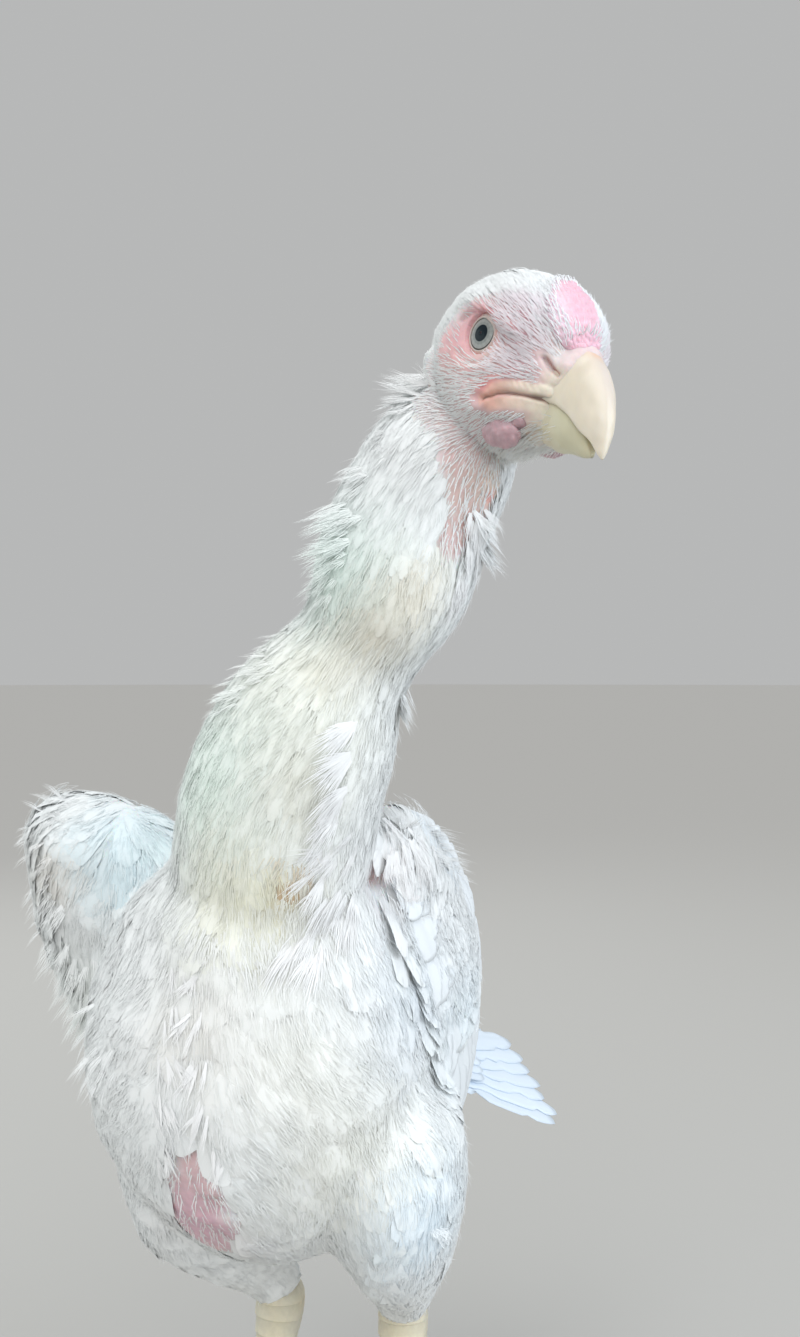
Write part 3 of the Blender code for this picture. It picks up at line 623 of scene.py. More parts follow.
def hoop(rings):
    """A closed ring of sections of equal point counts, the last joined to the first."""
    rings = np.array(rings, float)
    count, sides = rings.shape[:2]
    i, j = np.meshgrid(np.arange(count), np.arange(sides), indexing="ij")
    i2, j2 = (i + 1) % count, (j + 1) % sides
    quads = np.stack([i * sides + j, i2 * sides + j, i2 * sides + j2, i * sides + j2], -1)
    return outward(Shape(rings.reshape(-1, 3), quads.reshape(-1, 4)))


def outward(shape):
    """Turns a closed shape's faces so that they point out."""
    volume = 0.0
    for group in shape.faces:
        a = shape.points[group[:, 0]]
        for n in range(1, group.shape[1] - 1):
            b, c = shape.points[group[:, n]], shape.points[group[:, n + 1]]
            volume += (a * np.cross(b, c)).sum()
    if volume < 0:
        shape.faces = [group[:, ::-1] for group in shape.faces]
    return shape


def frames_along(centres):
    """Tangents of a line of points, by differences."""
    return unit(np.gradient(np.asarray(centres, float), axis=0))


def tube(centres, radii, sides):
    """A round tube along points."""
    angle = turns(sides)
    rings = []
    for centre, tangent, radius in zip(centres, frames_along(centres), radii):
        across = unit(np.cross(tangent, (0, 0, 1)))
        rings.append(centre + oval(angle, across, np.cross(across, tangent), radius, radius))
    return loft(rings)


def mesh_arrays(mesh):
    points = np.empty(len(mesh.vertices) * 3, np.float32)
    mesh.vertices.foreach_get("co", points)
    sizes = np.empty(len(mesh.polygons), np.int32)
    mesh.polygons.foreach_get("loop_total", sizes)
    corners = np.empty(len(mesh.loops), np.int32)
    mesh.loops.foreach_get("vertex_index", corners)
    starts = np.cumsum(sizes) - sizes
    groups = [corners[starts[sizes == n][:, None] + np.arange(n)] for n in np.unique(sizes)]
    return points.reshape(-1, 3) / MM - ORIGIN, groups


def point_normals(shape):
    """Smooth normals at the points of a shape."""
    normals = np.zeros_like(shape.points)
    for group in shape.faces:
        corner = shape.points[group]
        face = np.cross(corner[:, 2] - corner[:, 0], corner[:, -1] - corner[:, 1])
        if group.shape[1] == 3:
            face = np.cross(corner[:, 1] - corner[:, 0], corner[:, 2] - corner[:, 0])
        for n in range(group.shape[1]):
            for axis in range(3):
                normals[:, axis] += np.bincount(group[:, n], face[:, axis], len(normals))
    return unit(normals)


def relaxed(values, edges, rounds):
    """Values at points, evened with their neighbours."""
    degree = np.maximum(np.bincount(edges.ravel(), minlength=len(values)), 1)[:, None]
    for _ in range(rounds):
        total = np.zeros_like(values)
        for axis in range(values.shape[1]):
            total[:, axis] += np.bincount(edges[:, 0], values[edges[:, 1], axis], len(values))
            total[:, axis] += np.bincount(edges[:, 1], values[edges[:, 0], axis], len(values))
        values = values + 0.5 * (total / degree - values)
    return values


def edges_of(shape):
    pairs = []
    for group in shape.faces:
        for n in range(group.shape[1]):
            pairs.append(np.c_[group[:, n], group[:, (n + 1) % group.shape[1]]])
    return np.unique(np.sort(np.concatenate(pairs), axis=1), axis=0)


def tree_of(shape):
    faces = [tuple(row) for group in shape.faces for row in group.tolist()]
    return BVHTree.FromPolygons(shape.points.tolist(), faces)


def wing_surface(a, b, out=0.0, spread=0.0):
    """Points of the left wing's outer face from its own plane, raised by out."""
    slope = math.radians(WING_SLOPE)
    y = WING_WRIST[0] + a * math.cos(slope) + b * math.sin(slope)
    z = WING_WRIST[1] - a * math.sin(slope) + b * math.cos(slope)
    x = WING_OUT - 15 * ((a - 60) / 85) ** 2 - 13 * ((b - 12) / 50) ** 2
    x = x + out + spread * (1 - 0.5 * (a / 168) ** 2)
    return np.stack(np.broadcast_arrays(x, y, z), -1)


def wing_core(side, shrink):
    """The flesh of a wing under its feathers, this much slimmer than the solid's core."""
    spread = RIGHT_WING_SPREAD if side < 0 else 0.0
    angle = turns(40)
    rings = []
    for a, b, half, thick in smooth_rows(WING_CORE[1:-1], 44):
        half, thick = max(half - shrink, 1.5), max(thick - shrink, 1.6)
        lift = thick / 2 * (np.sin(angle) - 1) - shrink * 0.5
        if side < 0:
            shoulder = min(1.0, max(0.0, (108 - a) / 60)) * half / 34
            lift = lift + np.minimum(np.sin(angle), 0) * (thick / 2 + RIGHT_WING_FILL * shoulder)
        rings.append(wing_surface(a, b + half * np.cos(angle), lift, spread) * (side, 1, 1))
    return loft(rings)


def tail_axes():
    droop, swing = math.radians(TAIL_DROOP), math.radians(TAIL_SWING)
    back = np.array((math.sin(swing) * math.cos(droop), math.cos(swing) * math.cos(droop), -math.sin(droop)))
    side = unit(np.cross(back, (0, 0, 1)))
    return back, side, np.cross(side, back)


def tail_core(shrink):
    back, across, up = tail_axes()
    angle = turns(32)
    rings = []
    for along, half, thick in smooth_rows(TAIL_CORE, 24):
        centre = np.array(TAIL_ROOT) + back * along - up * 3.0
        half, thick = max(half - shrink, 1.2), max(thick - shrink, 1.2)
        rings.append(centre + oval(angle, across, up, half, thick / 2))
    return loft(rings)


def head_form():
    """The head without its fine folds, as a closed shape in the bird's axes."""
    angle = turns(90)
    rings = []
    for x, top, bottom, half in smooth_rows(HEAD, 80):
        middle = (top + bottom) / 2 + 0.12 * (top - bottom)
        reach = np.where(np.sin(angle) > 0, top - middle, middle - bottom)
        fullness = 1 + 0.045 * np.sin(2 * angle) ** 2
        y, z = half * np.cos(angle) * fullness, middle + reach * np.sin(angle) * fullness
        ring = np.c_[np.full(90, x), y, z]
        mirror = np.abs(ring * (0, 1, 0)) + ring * (1, 0, 1)
        push = np.zeros(90)
        for start, end, radius, amount in FACE_STROKES:
            push += amount * bell(segment_distance(mirror, start, end), radius)
        rings.append(ring + np.c_[np.zeros(90), np.cos(angle), np.sin(angle)] * push[:, None])
    shape = loft(rings)
    shape.points = from_head(shape.points)
    return shape


def bill_ring(top_x, top_z, low_x, low_z, half, shape):
    """One ring of the bill, from its culmen or cutting edge down both sides."""
    top, low = np.array((top_x, top_z)), np.array((low_x, low_z))
    left = [((top + (low - top) * share), half * width) for share, width in shape]
    ring = [(x, y, z) for (x, z), y in left]
    return ring + [(x, -y, z) for x, y, z in reversed(ring[1:-1])]


def bill_form(rows, shape, count, sides):
    return loft([bill_ring(*row, smooth_rows(shape, sides)) for row in smooth_rows(rows, count)])


def horn_share(points):
    """0 on the fleshy base of the bill, 1 on its horn, in the head's axes."""
    upper = ease(points[:, 0] - HORN_SLANT * np.maximum(points[:, 2], -12), 34.6, 37.4)
    lower = ease(points[:, 0] + 0.35 * (points[:, 2] + 17), 24.5, 28)
    return np.where(points[:, 2] + 0.2 * (points[:, 0] - 27) > -12.3, upper, lower)


def fleshy_base():
    """The cere and the lips round the mouth, in the bird's axes."""
    parts = []
    for rows, shape in ((BILL_UPPER[:6], UPPER_SHAPE), (BILL_LOWER[:5], LOWER_SHAPE)):
        form = bill_form(rows, shape, 50, 29)
        form.points += point_normals(form) * (1.0 - 2.6 * horn_share(form.points))[:, None]
        parts.append(form)
    for side in (1, -1):
        for line, size in ((LIP_UPPER, 1.75), (LIP_LOWER, 1.45)):
            path = smooth_rows([mirrored(p, side) for p in line], 40)
            share = np.linspace(0, 1, 40)
            radius = size * (0.75 + 0.35 * np.sin(math.pi * np.clip(share * 1.1, 0, 1))) * (1 - 0.5 * share)
            parts.append(tube(path - (0, 0.6 * side, 0), radius, 14))
    whole = parts[0]
    for part in parts[1:]:
        whole = whole.joined(part)
    whole.points = from_head(whole.points)
    return whole


def remeshed(shape, voxel):
    """One closed surface round overlapping shapes."""
    draft = make_object("draft", shape)
    remesh = draft.modifiers.new("whole", "REMESH")
    remesh.mode = "VOXEL"
    remesh.voxel_size = voxel * MM
    mesh = bpy.data.meshes.new_from_object(draft.evaluated_get(bpy.context.evaluated_depsgraph_get()))
    bpy.data.objects.remove(draft)
    points, groups = mesh_arrays(mesh)
    return largest_part(Shape(points, *groups))


def segment_distance(points, start, end):
    start, end = np.array(start, float), np.array(end, float)
    along = end - start
    if not along.any():
        return np.linalg.norm(points - start, axis=1)
    t = np.clip((points - start) @ along / (along @ along), 0, 1)
    return np.linalg.norm(points - start - t[:, None] * along, axis=1)


def line_distance(points, line):
    """Distance from points to a line of several stretches."""
    return np.min([segment_distance(points, a, b) for a, b in zip(line[:-1], line[1:])], axis=0)


def flat_distance(points, line):
    """Distance from points to a line of several stretches, both seen from the side."""
    return line_distance(points * (1, 0, 1), line * np.array((1, 0, 1)))


def node_shape(name, grow):
    """A node of the frame as a shape, its surface stood out by grow."""
    points, groups = mesh_arrays(frame["nodes"][name].data)
    shape = Shape(points, *groups)
    return Shape(points + point_normals(shape) * grow, *groups)


def sheets(points):
    """Height of the soft sheets of the body's feathers, which swell down the body and step back."""
    run = -0.9 * points[:, 2] + 0.35 * np.abs(points[:, 0] + 10) + 9 * noise(points, 24, 70)
    phase = (run / 27) % 1.0
    swell = phase**1.4 * (1 - ease(phase, 0.86, 1.0))
    patch = ease(noise(points, 17, 71), -0.5, 0.7)
    body = ease(-points[:, 2], -335, -290) * ease(points[:, 2], 128, 165)
    front = 1 - ease(points[:, 1], 70, 110)
    return 2.2 * swell * patch * body * front


def coat_depth(points):
    """How far the skin lies under the solids' surface."""
    head = to_head(points)
    face, neck, body = COAT_DEPTH
    from_face = np.linalg.norm(head - (2, 0, 0), axis=1)
    depth = face + (neck - face) * ease(from_face, 24, 44)
    depth += (body - neck) * ease(-points[:, 2], -340, -290)
    return depth * (0.25 + 0.75 * ease(points[:, 2], 118, 150))


def make_skin_shape():
    """One skin over the flesh: the solids joined and evened, then drawn in by the coat's depth."""
    face = head_form().joined(fleshy_base())
    whole = face
    for name in FLESH_NODES:
        whole = whole.joined(node_shape(name, 0.5))
    depth = COAT_DEPTH[2]
    for extra in (wing_core(1, -0.6 * depth), wing_core(-1, -0.6 * depth), tail_core(-0.6 * depth)):
        whole = whole.joined(extra)
    shape = remeshed(whole, SKIN_VOXEL)
    shape.points = relaxed(shape.points, edges_of(shape), 14)
    rise = 0.2 - coat_depth(shape.points) + sheets(shape.points)
    shape.points += point_normals(shape) * rise[:, None]
    return fitted_face(finer_face(shape), face)


def fitted_face(shape, face):
    """Lays the skin of the head on the face's own finer form."""
    fine = remeshed(face, 0.6)
    fine.points = relaxed(fine.points, edges_of(fine), 5)
    tree = tree_of(fine)
    head = to_head(shape.points)
    near = np.flatnonzero(np.linalg.norm(head - (6, 0, -2), axis=1) < 46)
    for i in near:
        hit, _, _, off = tree.find_nearest(shape.points[i])
        share = 1 - ease(np.array(off), 1.6, 4.0)
        shape.points[i] += (np.array(hit) - shape.points[i]) * share
    smooth = relaxed(shape.points, edges_of(shape), 2)
    shape.points[near] = smooth[near]
    return shape


def largest_part(shape):
    """The largest connected surface of a shape."""
    edges = edges_of(shape)
    label = np.arange(len(shape.points))
    while True:
        low = np.minimum(label[edges[:, 0]], label[edges[:, 1]])
        new = label.copy()
        np.minimum.at(new, edges[:, 0], low)
        np.minimum.at(new, edges[:, 1], low)
        new = new[new]
        if (new == label).all():
            break
        label = new
    keep = label == np.bincount(label).argmax()
    place = np.cumsum(keep) - 1
    return Shape(shape.points[keep], *[place[group[keep[group[:, 0]]]] for group in shape.faces])


def finer_face(shape):
    """Splits the faces of the head and throat so that folds and lids have enough points."""
    mesh = make_object("skin_draft", shape)
    work = bmesh.new()
    work.from_mesh(mesh.data)
    bpy.data.objects.remove(mesh)
    for reach in (44, 36):
        centre = (Vector(from_head((4, 0, -4))) + Vector(ORIGIN)) * MM
        near = [f for f in work.faces if (f.calc_center_median() - centre).length < reach * MM]
        edges = list({e for f in near for e in f.edges})
        bmesh.ops.subdivide_edges(work, edges=edges, cuts=1, use_grid_fill=True)
    bmesh.ops.triangulate(work, faces=[f for f in work.faces if len(f.verts) > 4])
    result = bpy.data.meshes.new("skin_draft")
    work.to_mesh(result)
    work.free()
    points, groups = mesh_arrays(result)
    shape = Shape(points, *groups)
    head = to_head(shape.points)
    weight = 1 - ease(np.linalg.norm(head - (4, 0, -4), axis=1), 38, 46)
    smooth = relaxed(shape.points, edges_of(shape), 10)
    shape.points += (smooth - shape.points) * weight[:, None]
    return shape


def eye_place(points, side):
    """Distance from an eye's axis and height along it, for points in the head's axes."""
    out = unit(mirrored(EYE_OUT, side))
    away = points - mirrored(EYE_AT, side)
    height = away @ out
    return np.linalg.norm(away - height[:, None] * out, axis=1), height, out


def folded(head):
    """Places on the head with both sides laid on the left one."""
    return head * (1, 0, 1) + np.abs(head) * (0, 1, 0)


def brow_place(fold):
    """Distance along the brow, from over the eye down to the bill, and across it."""
    return fold @ (0.92, 0, -0.39), fold @ (0.39, 0, 0.92)


def brow_length(along):
    return ease(along, -9, -1) * (1 - ease(along, 14, 21))


def brow_share(along, across):
    """How much of a place belongs to the wrinkled brow."""
    return brow_length(along) * ease(across, 11.2, 12.6) * (1 - ease(across, 18, 22))


def brow_wave(along, across):
    """Ridges and grooves of the brow's wrinkles, from 1 to -1."""
    return np.sin(across * 4.3 + 0.5 * np.sin(along * 0.6))


def sculpt_face(shape):
    """Folds, brow wrinkles, lips, nostrils and eye openings, pushed into the skin of the head."""
    head = to_head(shape.points)
    fold = folded(head)
    push = np.zeros(len(head))
    along, across = brow_place(fold)
    flank = ease(fold[:, 1], 6, 11)
    push += brow_length(along) * flank * 1.5 * bell(across - 14.3, 2.6)
    push += brow_share(along, across) * flank * 0.33 * brow_wave(along, across)
    push -= 0.9 * flank * bell(flat_distance(fold, BROW_CREASE), 0.8)
    lores = bell(segment_distance(fold, (17, 16, 4), (25, 13, -5)), 4.5)
    push += lores * 0.2 * np.sin((fold[:, 0] + 0.7 * fold[:, 2]) * 3.4)
    under_eye = np.linalg.norm(fold - (6.6, 18, 5.5), axis=1) - 9.4
    low = ease(-fold[:, 2], -4, 2)
    push += low * (0.45 * bell(under_eye - 2.0, 1.3) - 0.6 * bell(under_eye, 0.9))
    jaw = segment_distance(fold, (-19, 16, -2), (-9, 14, -22))
    push += bell(jaw, 2.6) * 1.3 - bell(jaw - 4.6, 1.6) * 0.6
    push -= (1.0 + 0.5 * ease(fold[:, 0], 24, 30)) * bell(flat_distance(fold, MOUTH), 0.66)
    corner = np.linalg.norm(fold - (11.4, 16.6, -13.2), axis=1)
    push += 0.5 * bell(corner - 2.8, 1.1) - 0.5 * bell(corner, 1.3)
    push -= 0.55 * bell(line_distance(fold, LIP_UPPER + np.array((0, 0, 2.3))), 0.8)
    lid = np.linalg.norm((fold - (33.6, 7.4, -0.4)) * (0.9, 0.7, 1), axis=1)
    push += 0.9 * bell(lid, 2.1) - 1.7 * bell(flat_distance(fold, NOSTRIL), 0.66)
    near = bell(np.linalg.norm(fold - (10, 14, -6), axis=1), 24)
    push += near * (0.09 * noise(head, 1.4, 3) + 0.12 * noise(head, 3.0, 4))
    shape.points += point_normals(shape) * push[:, None]
    head = to_head(shape.points)
    for side in (1, -1):
        off, height, out = eye_place(head, side)
        ball = np.sqrt(np.maximum(EYE_RADIUS**2 - off**2, 0))
        inside = (off < LID_OPENING + 1.2) & (height > 0)
        sink = np.where(inside, np.minimum(ball - 1.4 - height, 0), 0)
        head += out * sink[:, None]
    shape.points = from_head(head)
    return shape


def camera_turn():
    return np.array(turning(CAMERA_TURN, "Z"))


def seen(tree, pixel):
    """The point of the skin that shows at a pixel of the photo."""
    across, down = pixel[0] - PHOTO[0] / 2, pixel[1] - PHOTO[1] / 2
    ray = camera_turn() @ np.array((across / FOCAL, 1.0, -down / FOCAL))
    hit = tree.ray_cast(Vector(CAMERA_AT), Vector(ray))[0]
    return None if hit is None else np.array(hit)


def marked(points, base, marks_and_light, tree):
    """Colours at points: the base with the marks laid over it, with painted light among them on the coat."""
    colour = np.tile(np.array(base, float), (len(points), 1))
    for pixel, radius, shade, strength in marks_and_light:
        at = seen(tree, pixel)
        if at is None:
            continue
        colour = toward(colour, shade, strength * bell(np.linalg.norm(points - at, axis=1), radius))
    return colour


def coat_colour(points, tree):
    colour = marked(points, WHITE, COAT_MARKS_AND_LIGHT, tree)
    colour *= (1 + 0.025 * noise(points, 9.0, 1) + 0.012 * noise(points, 3.0, 2))[:, None]
    return np.clip(colour, 0, 0.97)


def skin_colour(points, tree):
    """Pink flesh, strongest round the eye and over the gape, cooler on the cheek and duller on the throat,
    with painted shade in the mouth's slit, the brow's grooves and the nostril.
    """
    colour = marked(points, (0.79, 0.59, 0.59), SKIN_MARKS, tree)
    head = to_head(points)
    fold = folded(head)
    for at, radius, shade, strength in FACE_TINTS:
        colour = toward(colour, shade, strength * bell(np.linalg.norm(fold - at, axis=1), radius))
    lips = np.minimum(line_distance(fold, LIP_UPPER), line_distance(fold, LIP_LOWER))
    lip = toward(np.array(LIP_CORNER), LIP_FRONT, ease(fold[:, 0], 14, 28))
    colour = toward(colour, lip, (1 - ease(lips, 1.2, 2.6)) * 0.9)
    near_horn = ease(fold[:, 0] - HORN_SLANT * np.maximum(fold[:, 2], -12), 29.5, 34)
    colour = toward(colour, CERE, near_horn * ease(-fold[:, 2], -1, 4) * 0.75)
    # Painted shade in the mouth's slit, in the brow's grooves and in the nostril
    deep = 0.45 + 0.35 * ease(fold[:, 0], 24, 30)
    colour = toward(colour, MOUTH_SHADE, 0.9 * bell(flat_distance(fold, MOUTH), deep))
    along, across = brow_place(fold)
    groove_shade = brow_share(along, across) * np.maximum(-brow_wave(along, across), 0)
    colour = toward(colour, BROW_GROOVE_SHADE, groove_shade * 0.5)
    colour = toward(colour, NOSTRIL_SHADE, 0.9 * bell(flat_distance(fold, NOSTRIL), 0.6))
    colour *= (1 + 0.05 * noise(points, 4.0, 5) + 0.05 * noise(points, 1.6, 6))[:, None]
    return np.clip(colour, 0, 0.95)


def lie_guides():
    """Rows of a place inside the bird, the way that feathers point there and how far that reaches."""
    rows = []
    for place in ((22, 0, 0), (8, 0, 0), (-8, 0, 0), (-20, 0, -4)):
        rows.append((from_head(place), -HEAD_AXES[:, 0], 22))
    lines = [NECK_GUIDE, TORSO_GUIDE]
    lines += [[mirrored(row[:3], side) + (row[3],) for row in THIGH_GUIDE] for side in (1, -1)]
    for line in lines:
        line = smooth_rows(line, 3 * len(line))
        rows += list(zip(line[:, :3], frames_along(line[:, :3]), line[:, 3]))
    slope = math.radians(WING_SLOPE)
    for side, spread in ((1, 0.0), (-1, RIGHT_WING_SPREAD)):
        for a in np.arange(-12, 110, 18):
            knob = 1 - ease(a, -4, 36)
            way = np.array((0.15 * side, math.cos(slope), -math.sin(slope))) * (1 - knob)
            way = unit(way + np.array((0.55 * side, -0.35, -0.75)) * knob)
            for b in (-12, 8, 28):
                rows.append((wing_surface(a, b, -10, spread) * (side, 1, 1), way, 19))
    return rows


class Skin:
    """The skin with what the coat asks of it: normals, the lie of the feathers, and places near or scattered
    over it.
    """

    def __init__(self, shape):
        self.shape = shape
        self.tree = tree_of(shape)
        self.edges = edges_of(shape)
        self.normals = unit(relaxed(point_normals(shape), self.edges, 7))
        self.first = np.concatenate([group[:, 0] for group in shape.faces])
        self.lie = self.make_lie()

    def make_lie(self):
        points = self.shape.points
        total = np.zeros_like(points)
        for guide, way, size in lie_guides():
            near = np.exp(-4 * (np.linalg.norm(points - guide, axis=1) / size) ** 2) + 1e-9
            total += near[:, None] * way
        total = unit(total)
        head = to_head(points)
        on_head = 1 - ease(np.linalg.norm(head - (2, 0, 0), axis=1), 24, 38)
        rise = np.clip((head[:, 2] + 9) / 20, -0.55, 0.7)
        local = unit(np.c_[-np.ones(len(head)), np.zeros(len(head)), rise])
        total += (local @ HEAD_AXES.T - total) * on_head[:, None]
        breast = ease(-points[:, 1], -20, 40) * ease(-points[:, 2], -300, -250) * ease(points[:, 2], 150, 190)
        total += np.c_[np.tanh((points[:, 0] + 13) / 16) * 0.45, np.zeros((len(points), 2))] * breast[:, None]
        total -= self.normals * (total * self.normals).sum(1)[:, None]
        total = relaxed(unit(total), self.edges, 8)
        total -= self.normals * (total * self.normals).sum(1)[:, None]
        return unit(total)

    def nearest(self, points):
        """Places on the skin with their normals and the lie of the feathers there."""
        places, faces = [], []
        for point in points.tolist():
            hit, _, face, _ = self.tree.find_nearest(point)
            places.append(hit)
            faces.append(face)
        at = self.first[np.array(faces)]
        return np.array(places), self.normals[at], self.lie[at]

    def scattered(self, count, draw, density=None):
        """Random places over the skin, more where density is higher."""
        triangles = []
        for group in self.shape.faces:
            for n in range(1, group.shape[1] - 1):
                triangles.append(group[:, [0, n, n + 1]])
        triangles = np.concatenate(triangles)
        corner = self.shape.points[triangles]
        area = np.linalg.norm(np.cross(corner[:, 1] - corner[:, 0], corner[:, 2] - corner[:, 0]), axis=1)
        if density is not None:
            area = area * density(corner.mean(1))
        pick = draw.choice(len(area), count, p=area / area.sum())
        u, v = draw.random((2, count))
        flip = u + v > 1
        u[flip], v[flip] = 1 - u[flip], 1 - v[flip]
        corner = corner[pick]
        places = corner[:, 0] + u[:, None] * (corner[:, 1] - corner[:, 0])
        places += v[:, None] * (corner[:, 2] - corner[:, 0])
        at = triangles[pick, 0]
        return places, self.normals[at], self.lie[at]


def spaced(places, gaps):
    """Which places to keep so that none lies nearer to a kept one than its gap."""
    tree = KDTree(len(places))
    for i, place in enumerate(places.tolist()):
        tree.insert(place, i)
    tree.balance()
    left = np.ones(len(places), bool)
    keep = []
    for i, (place, gap) in enumerate(zip(places.tolist(), gaps.tolist())):
        if not left[i]:
            continue
        keep.append(i)
        for _, j, _ in tree.find_range(place, gap):
            left[j] = False
    return np.array(keep)


def unwrapped(points):
    """Places on an unwrap of the skin: round and along the body, with thighs and wings on their own."""
    spine = [from_head(p) for p in ((30, 0, 0), (10, 0, 0), (-14, 0, -3))]
    spine += [row[:3] for row in NECK_GUIDE + TORSO_GUIDE]
    spine = np.array(spine, float)
    place = np.zeros((len(points), 2))
    best = np.full(len(points), np.inf)
    run = np.r_[0, np.cumsum(np.linalg.norm(np.diff(spine, axis=0), axis=1))]
    for start, end, before in zip(spine[:-1], spine[1:], run[:-1]):
        along = end - start
        t = np.clip((points - start) @ along / (along @ along), 0, 1)
        away = points - start - t[:, None] * along
        off = np.linalg.norm(away, axis=1)
        side = unit(np.cross(along, (0, 1, 0.3)))
        round_about = np.arctan2(away @ side, away @ unit(np.cross(side, along))) / (2 * math.pi) + 0.5
        near = off < best
        best = np.where(near, off, best)
        new = np.c_[0.01 + 0.98 * round_about, 0.46 + 0.52 * (before + t * np.linalg.norm(along)) / run[-1]]
        place = np.where(near[:, None], new, place)
    for side in (1, -1):
        low = points[:, 2] < 150
        own = low & (points[:, 0] * side > 0)
        angle = np.arctan2(points[:, 1] - 45, points[:, 0] - 32 * side) / (2 * math.pi) + 0.5
        thigh = np.c_[0.14 + 0.12 * side + 0.11 * angle, 0.02 + 0.4 * (points[:, 2] - 100) / 50]
        place = np.where(own[:, None], thigh, place)
        wing = points[:, 0] * side > (46 if side > 0 else 62)
        across = (points[:, 1] + 20) / 150
        up = np.clip((points[:, 2] - 130) / 230, 0, 1)
        face = 0.03 * np.tanh((points[:, 0] * side - (54 if side > 0 else 90)) / 6)
        new = np.c_[0.62 + 0.12 * side + 0.1 * across + face, 0.03 + 0.38 * up]
        place = np.where(wing[:, None], new, place)
    return np.clip(place, 0.005, 0.995)


def blade(line, half, ridge):
    """A thin, pointed barb along a line of (u, v, w): three-sided, closed, its last point the tip."""
    line = np.array(line, float)
    points = []
    for i, at in enumerate(line[:-1]):
        way = unit(line[i + 1] - at)
        across = np.array((-way[1], way[0], 0.0)) * half * (1 - i / (len(line) - 1)) ** 0.6
        points += [at - across, at + across, at + (0, 0, ridge)]
    points.append(line[-1])
    faces = [(0, 1, 2)]
    for i in range(len(line) - 2):
        a, b = 3 * i, 3 * i + 3
        for j, k in ((0, 1), (1, 2), (2, 0)):
            faces += [(a + j, b + k, a + k), (a + j, b + j, b + k)]
    a = 3 * (len(line) - 2)
    tip = len(points) - 1
    for j, k in ((0, 1), (1, 2), (2, 0)):
        faces.append((a + j, tip, a + k))
    return Shape(points, faces)


def strip(stations, thick):
    """A thin, closed leaf through stations of (u, half width, w), with a raised shaft down its middle."""
    camber = 0.1
    points = []
    for u, half, w in stations:
        edge = w - camber * half
        points += [(u, half, edge), (u, 0, w + thick * 1.6), (u, -half, edge), (u, 0, edge - thick)]
    faces = [(0, 1, 2), (0, 2, 3)]
    for i in range(len(stations) - 1):
        a, b = 4 * i, 4 * i + 4
        for j in range(4):
            k = (j + 1) % 4
            faces += [(a + j, b + j, b + k), (a + j, b + k, a + k)]
    a = 4 * (len(stations) - 1)
    faces += [(a, a + 2, a + 1), (a, a + 3, a + 2)]
    return Shape(points, faces)


def gathered(parts, draw, shade=0.035, lean=0.06):
    """Closed parts as one template of triangles, each turned to face out. Every part after the first gets a
    brightness and a lean of its shading of its own."""
    whole = outward(parts[0])
    for part in parts[1:]:
        whole = whole.joined(outward(part))
    template = Shape(whole.points, np.concatenate(whole.faces))
    sizes = [len(part.points) for part in parts]
    own = np.ones(len(parts))
    own[0] = len(parts) == 1
    template.shade = np.repeat(1 - shade * own * draw.random(len(parts)), sizes)
    template.lean = np.repeat(lean * own * draw.normal(size=len(parts)), sizes)
    return template


def outline(u, widest=0.6, root=0.35):
    """Half width of a feather along its length, as a share of the widest."""
    rise = root + (1 - root) * np.sin(np.clip(u / widest, 0, 1) * math.pi / 2) ** 0.8
    fall = np.sqrt(np.clip(1 - (np.clip(u - widest, 0, 1) / (1.02 - widest)) ** 2, 0, 1))
    return rise * fall


def contour_feather(length, width, barbs, seed):
    """A small body feather: an arched leaf, and fine barbs that fan out past its edge."""
    draw = np.random.default_rng(seed)
    widest = 0.62
    half = width / 2
    stations = [(u * length, half * 0.7 * outline(u, widest, 0.3), 0.0) for u in (0.0, 0.3, 0.55, 0.72)]
    stations += [(0.82 * length, 0.4 * half, -0.05), (0.9 * length, 0.12 * half, -0.1)]
    parts = [strip(stations, 0.05)]
    for side in (1, -1):
        for i in range(barbs):
            share = (i + 0.25 + 0.5 * (side > 0) + draw.uniform(-0.25, 0.25)) / barbs
            start = 0.3 + 0.55 * share
            end = start + 0.24 + draw.uniform(-0.05, 0.05)
            reach = 0.9 * outline(min(end, 0.97), widest) + draw.uniform(-0.1, 0.12)
            reach *= half * (1 - 0.35 * share)
            near = half * outline(start, widest) * draw.uniform(0.1, 0.42)
            low = -0.1 * near + 0.05
            high = low - 0.06 * reach + draw.uniform(-0.1, 0.3)
            line = [(start * length, side * near, low), (end * length, side * reach, high)]
            parts.append(blade(line, 0.24, 0.08))
    return gathered(parts, draw)


def hackle(length, width, seed):
    """A narrow, pointed neck feather whose long barbs fray along both edges."""
    draw = np.random.default_rng(seed)
    half = width / 2
    profile = ((0.0, 0.35), (0.25, 0.8), (0.5, 0.85), (0.75, 0.6), (0.92, 0.25))
    parts = [strip([(u * length, half * share, 0.0) for u, share in profile], 0.04)]
    for side in (1, -1):
        for i in range(6):
            start = 0.22 + 0.1 * i + 0.04 * (side > 0)
            end = start + 0.26 + draw.uniform(-0.03, 0.07)
            reach = half * (1.15 - 0.9 * max(end - 0.6, 0)) * (1 + 0.1 * draw.normal())
            tip = (end * length, side * reach, draw.normal() * 0.12)
            line = [(start * length, side * half * 0.4, 0.0), tip]
            parts.append(blade(line, 0.2, 0.07))
    return gathered(parts, draw)


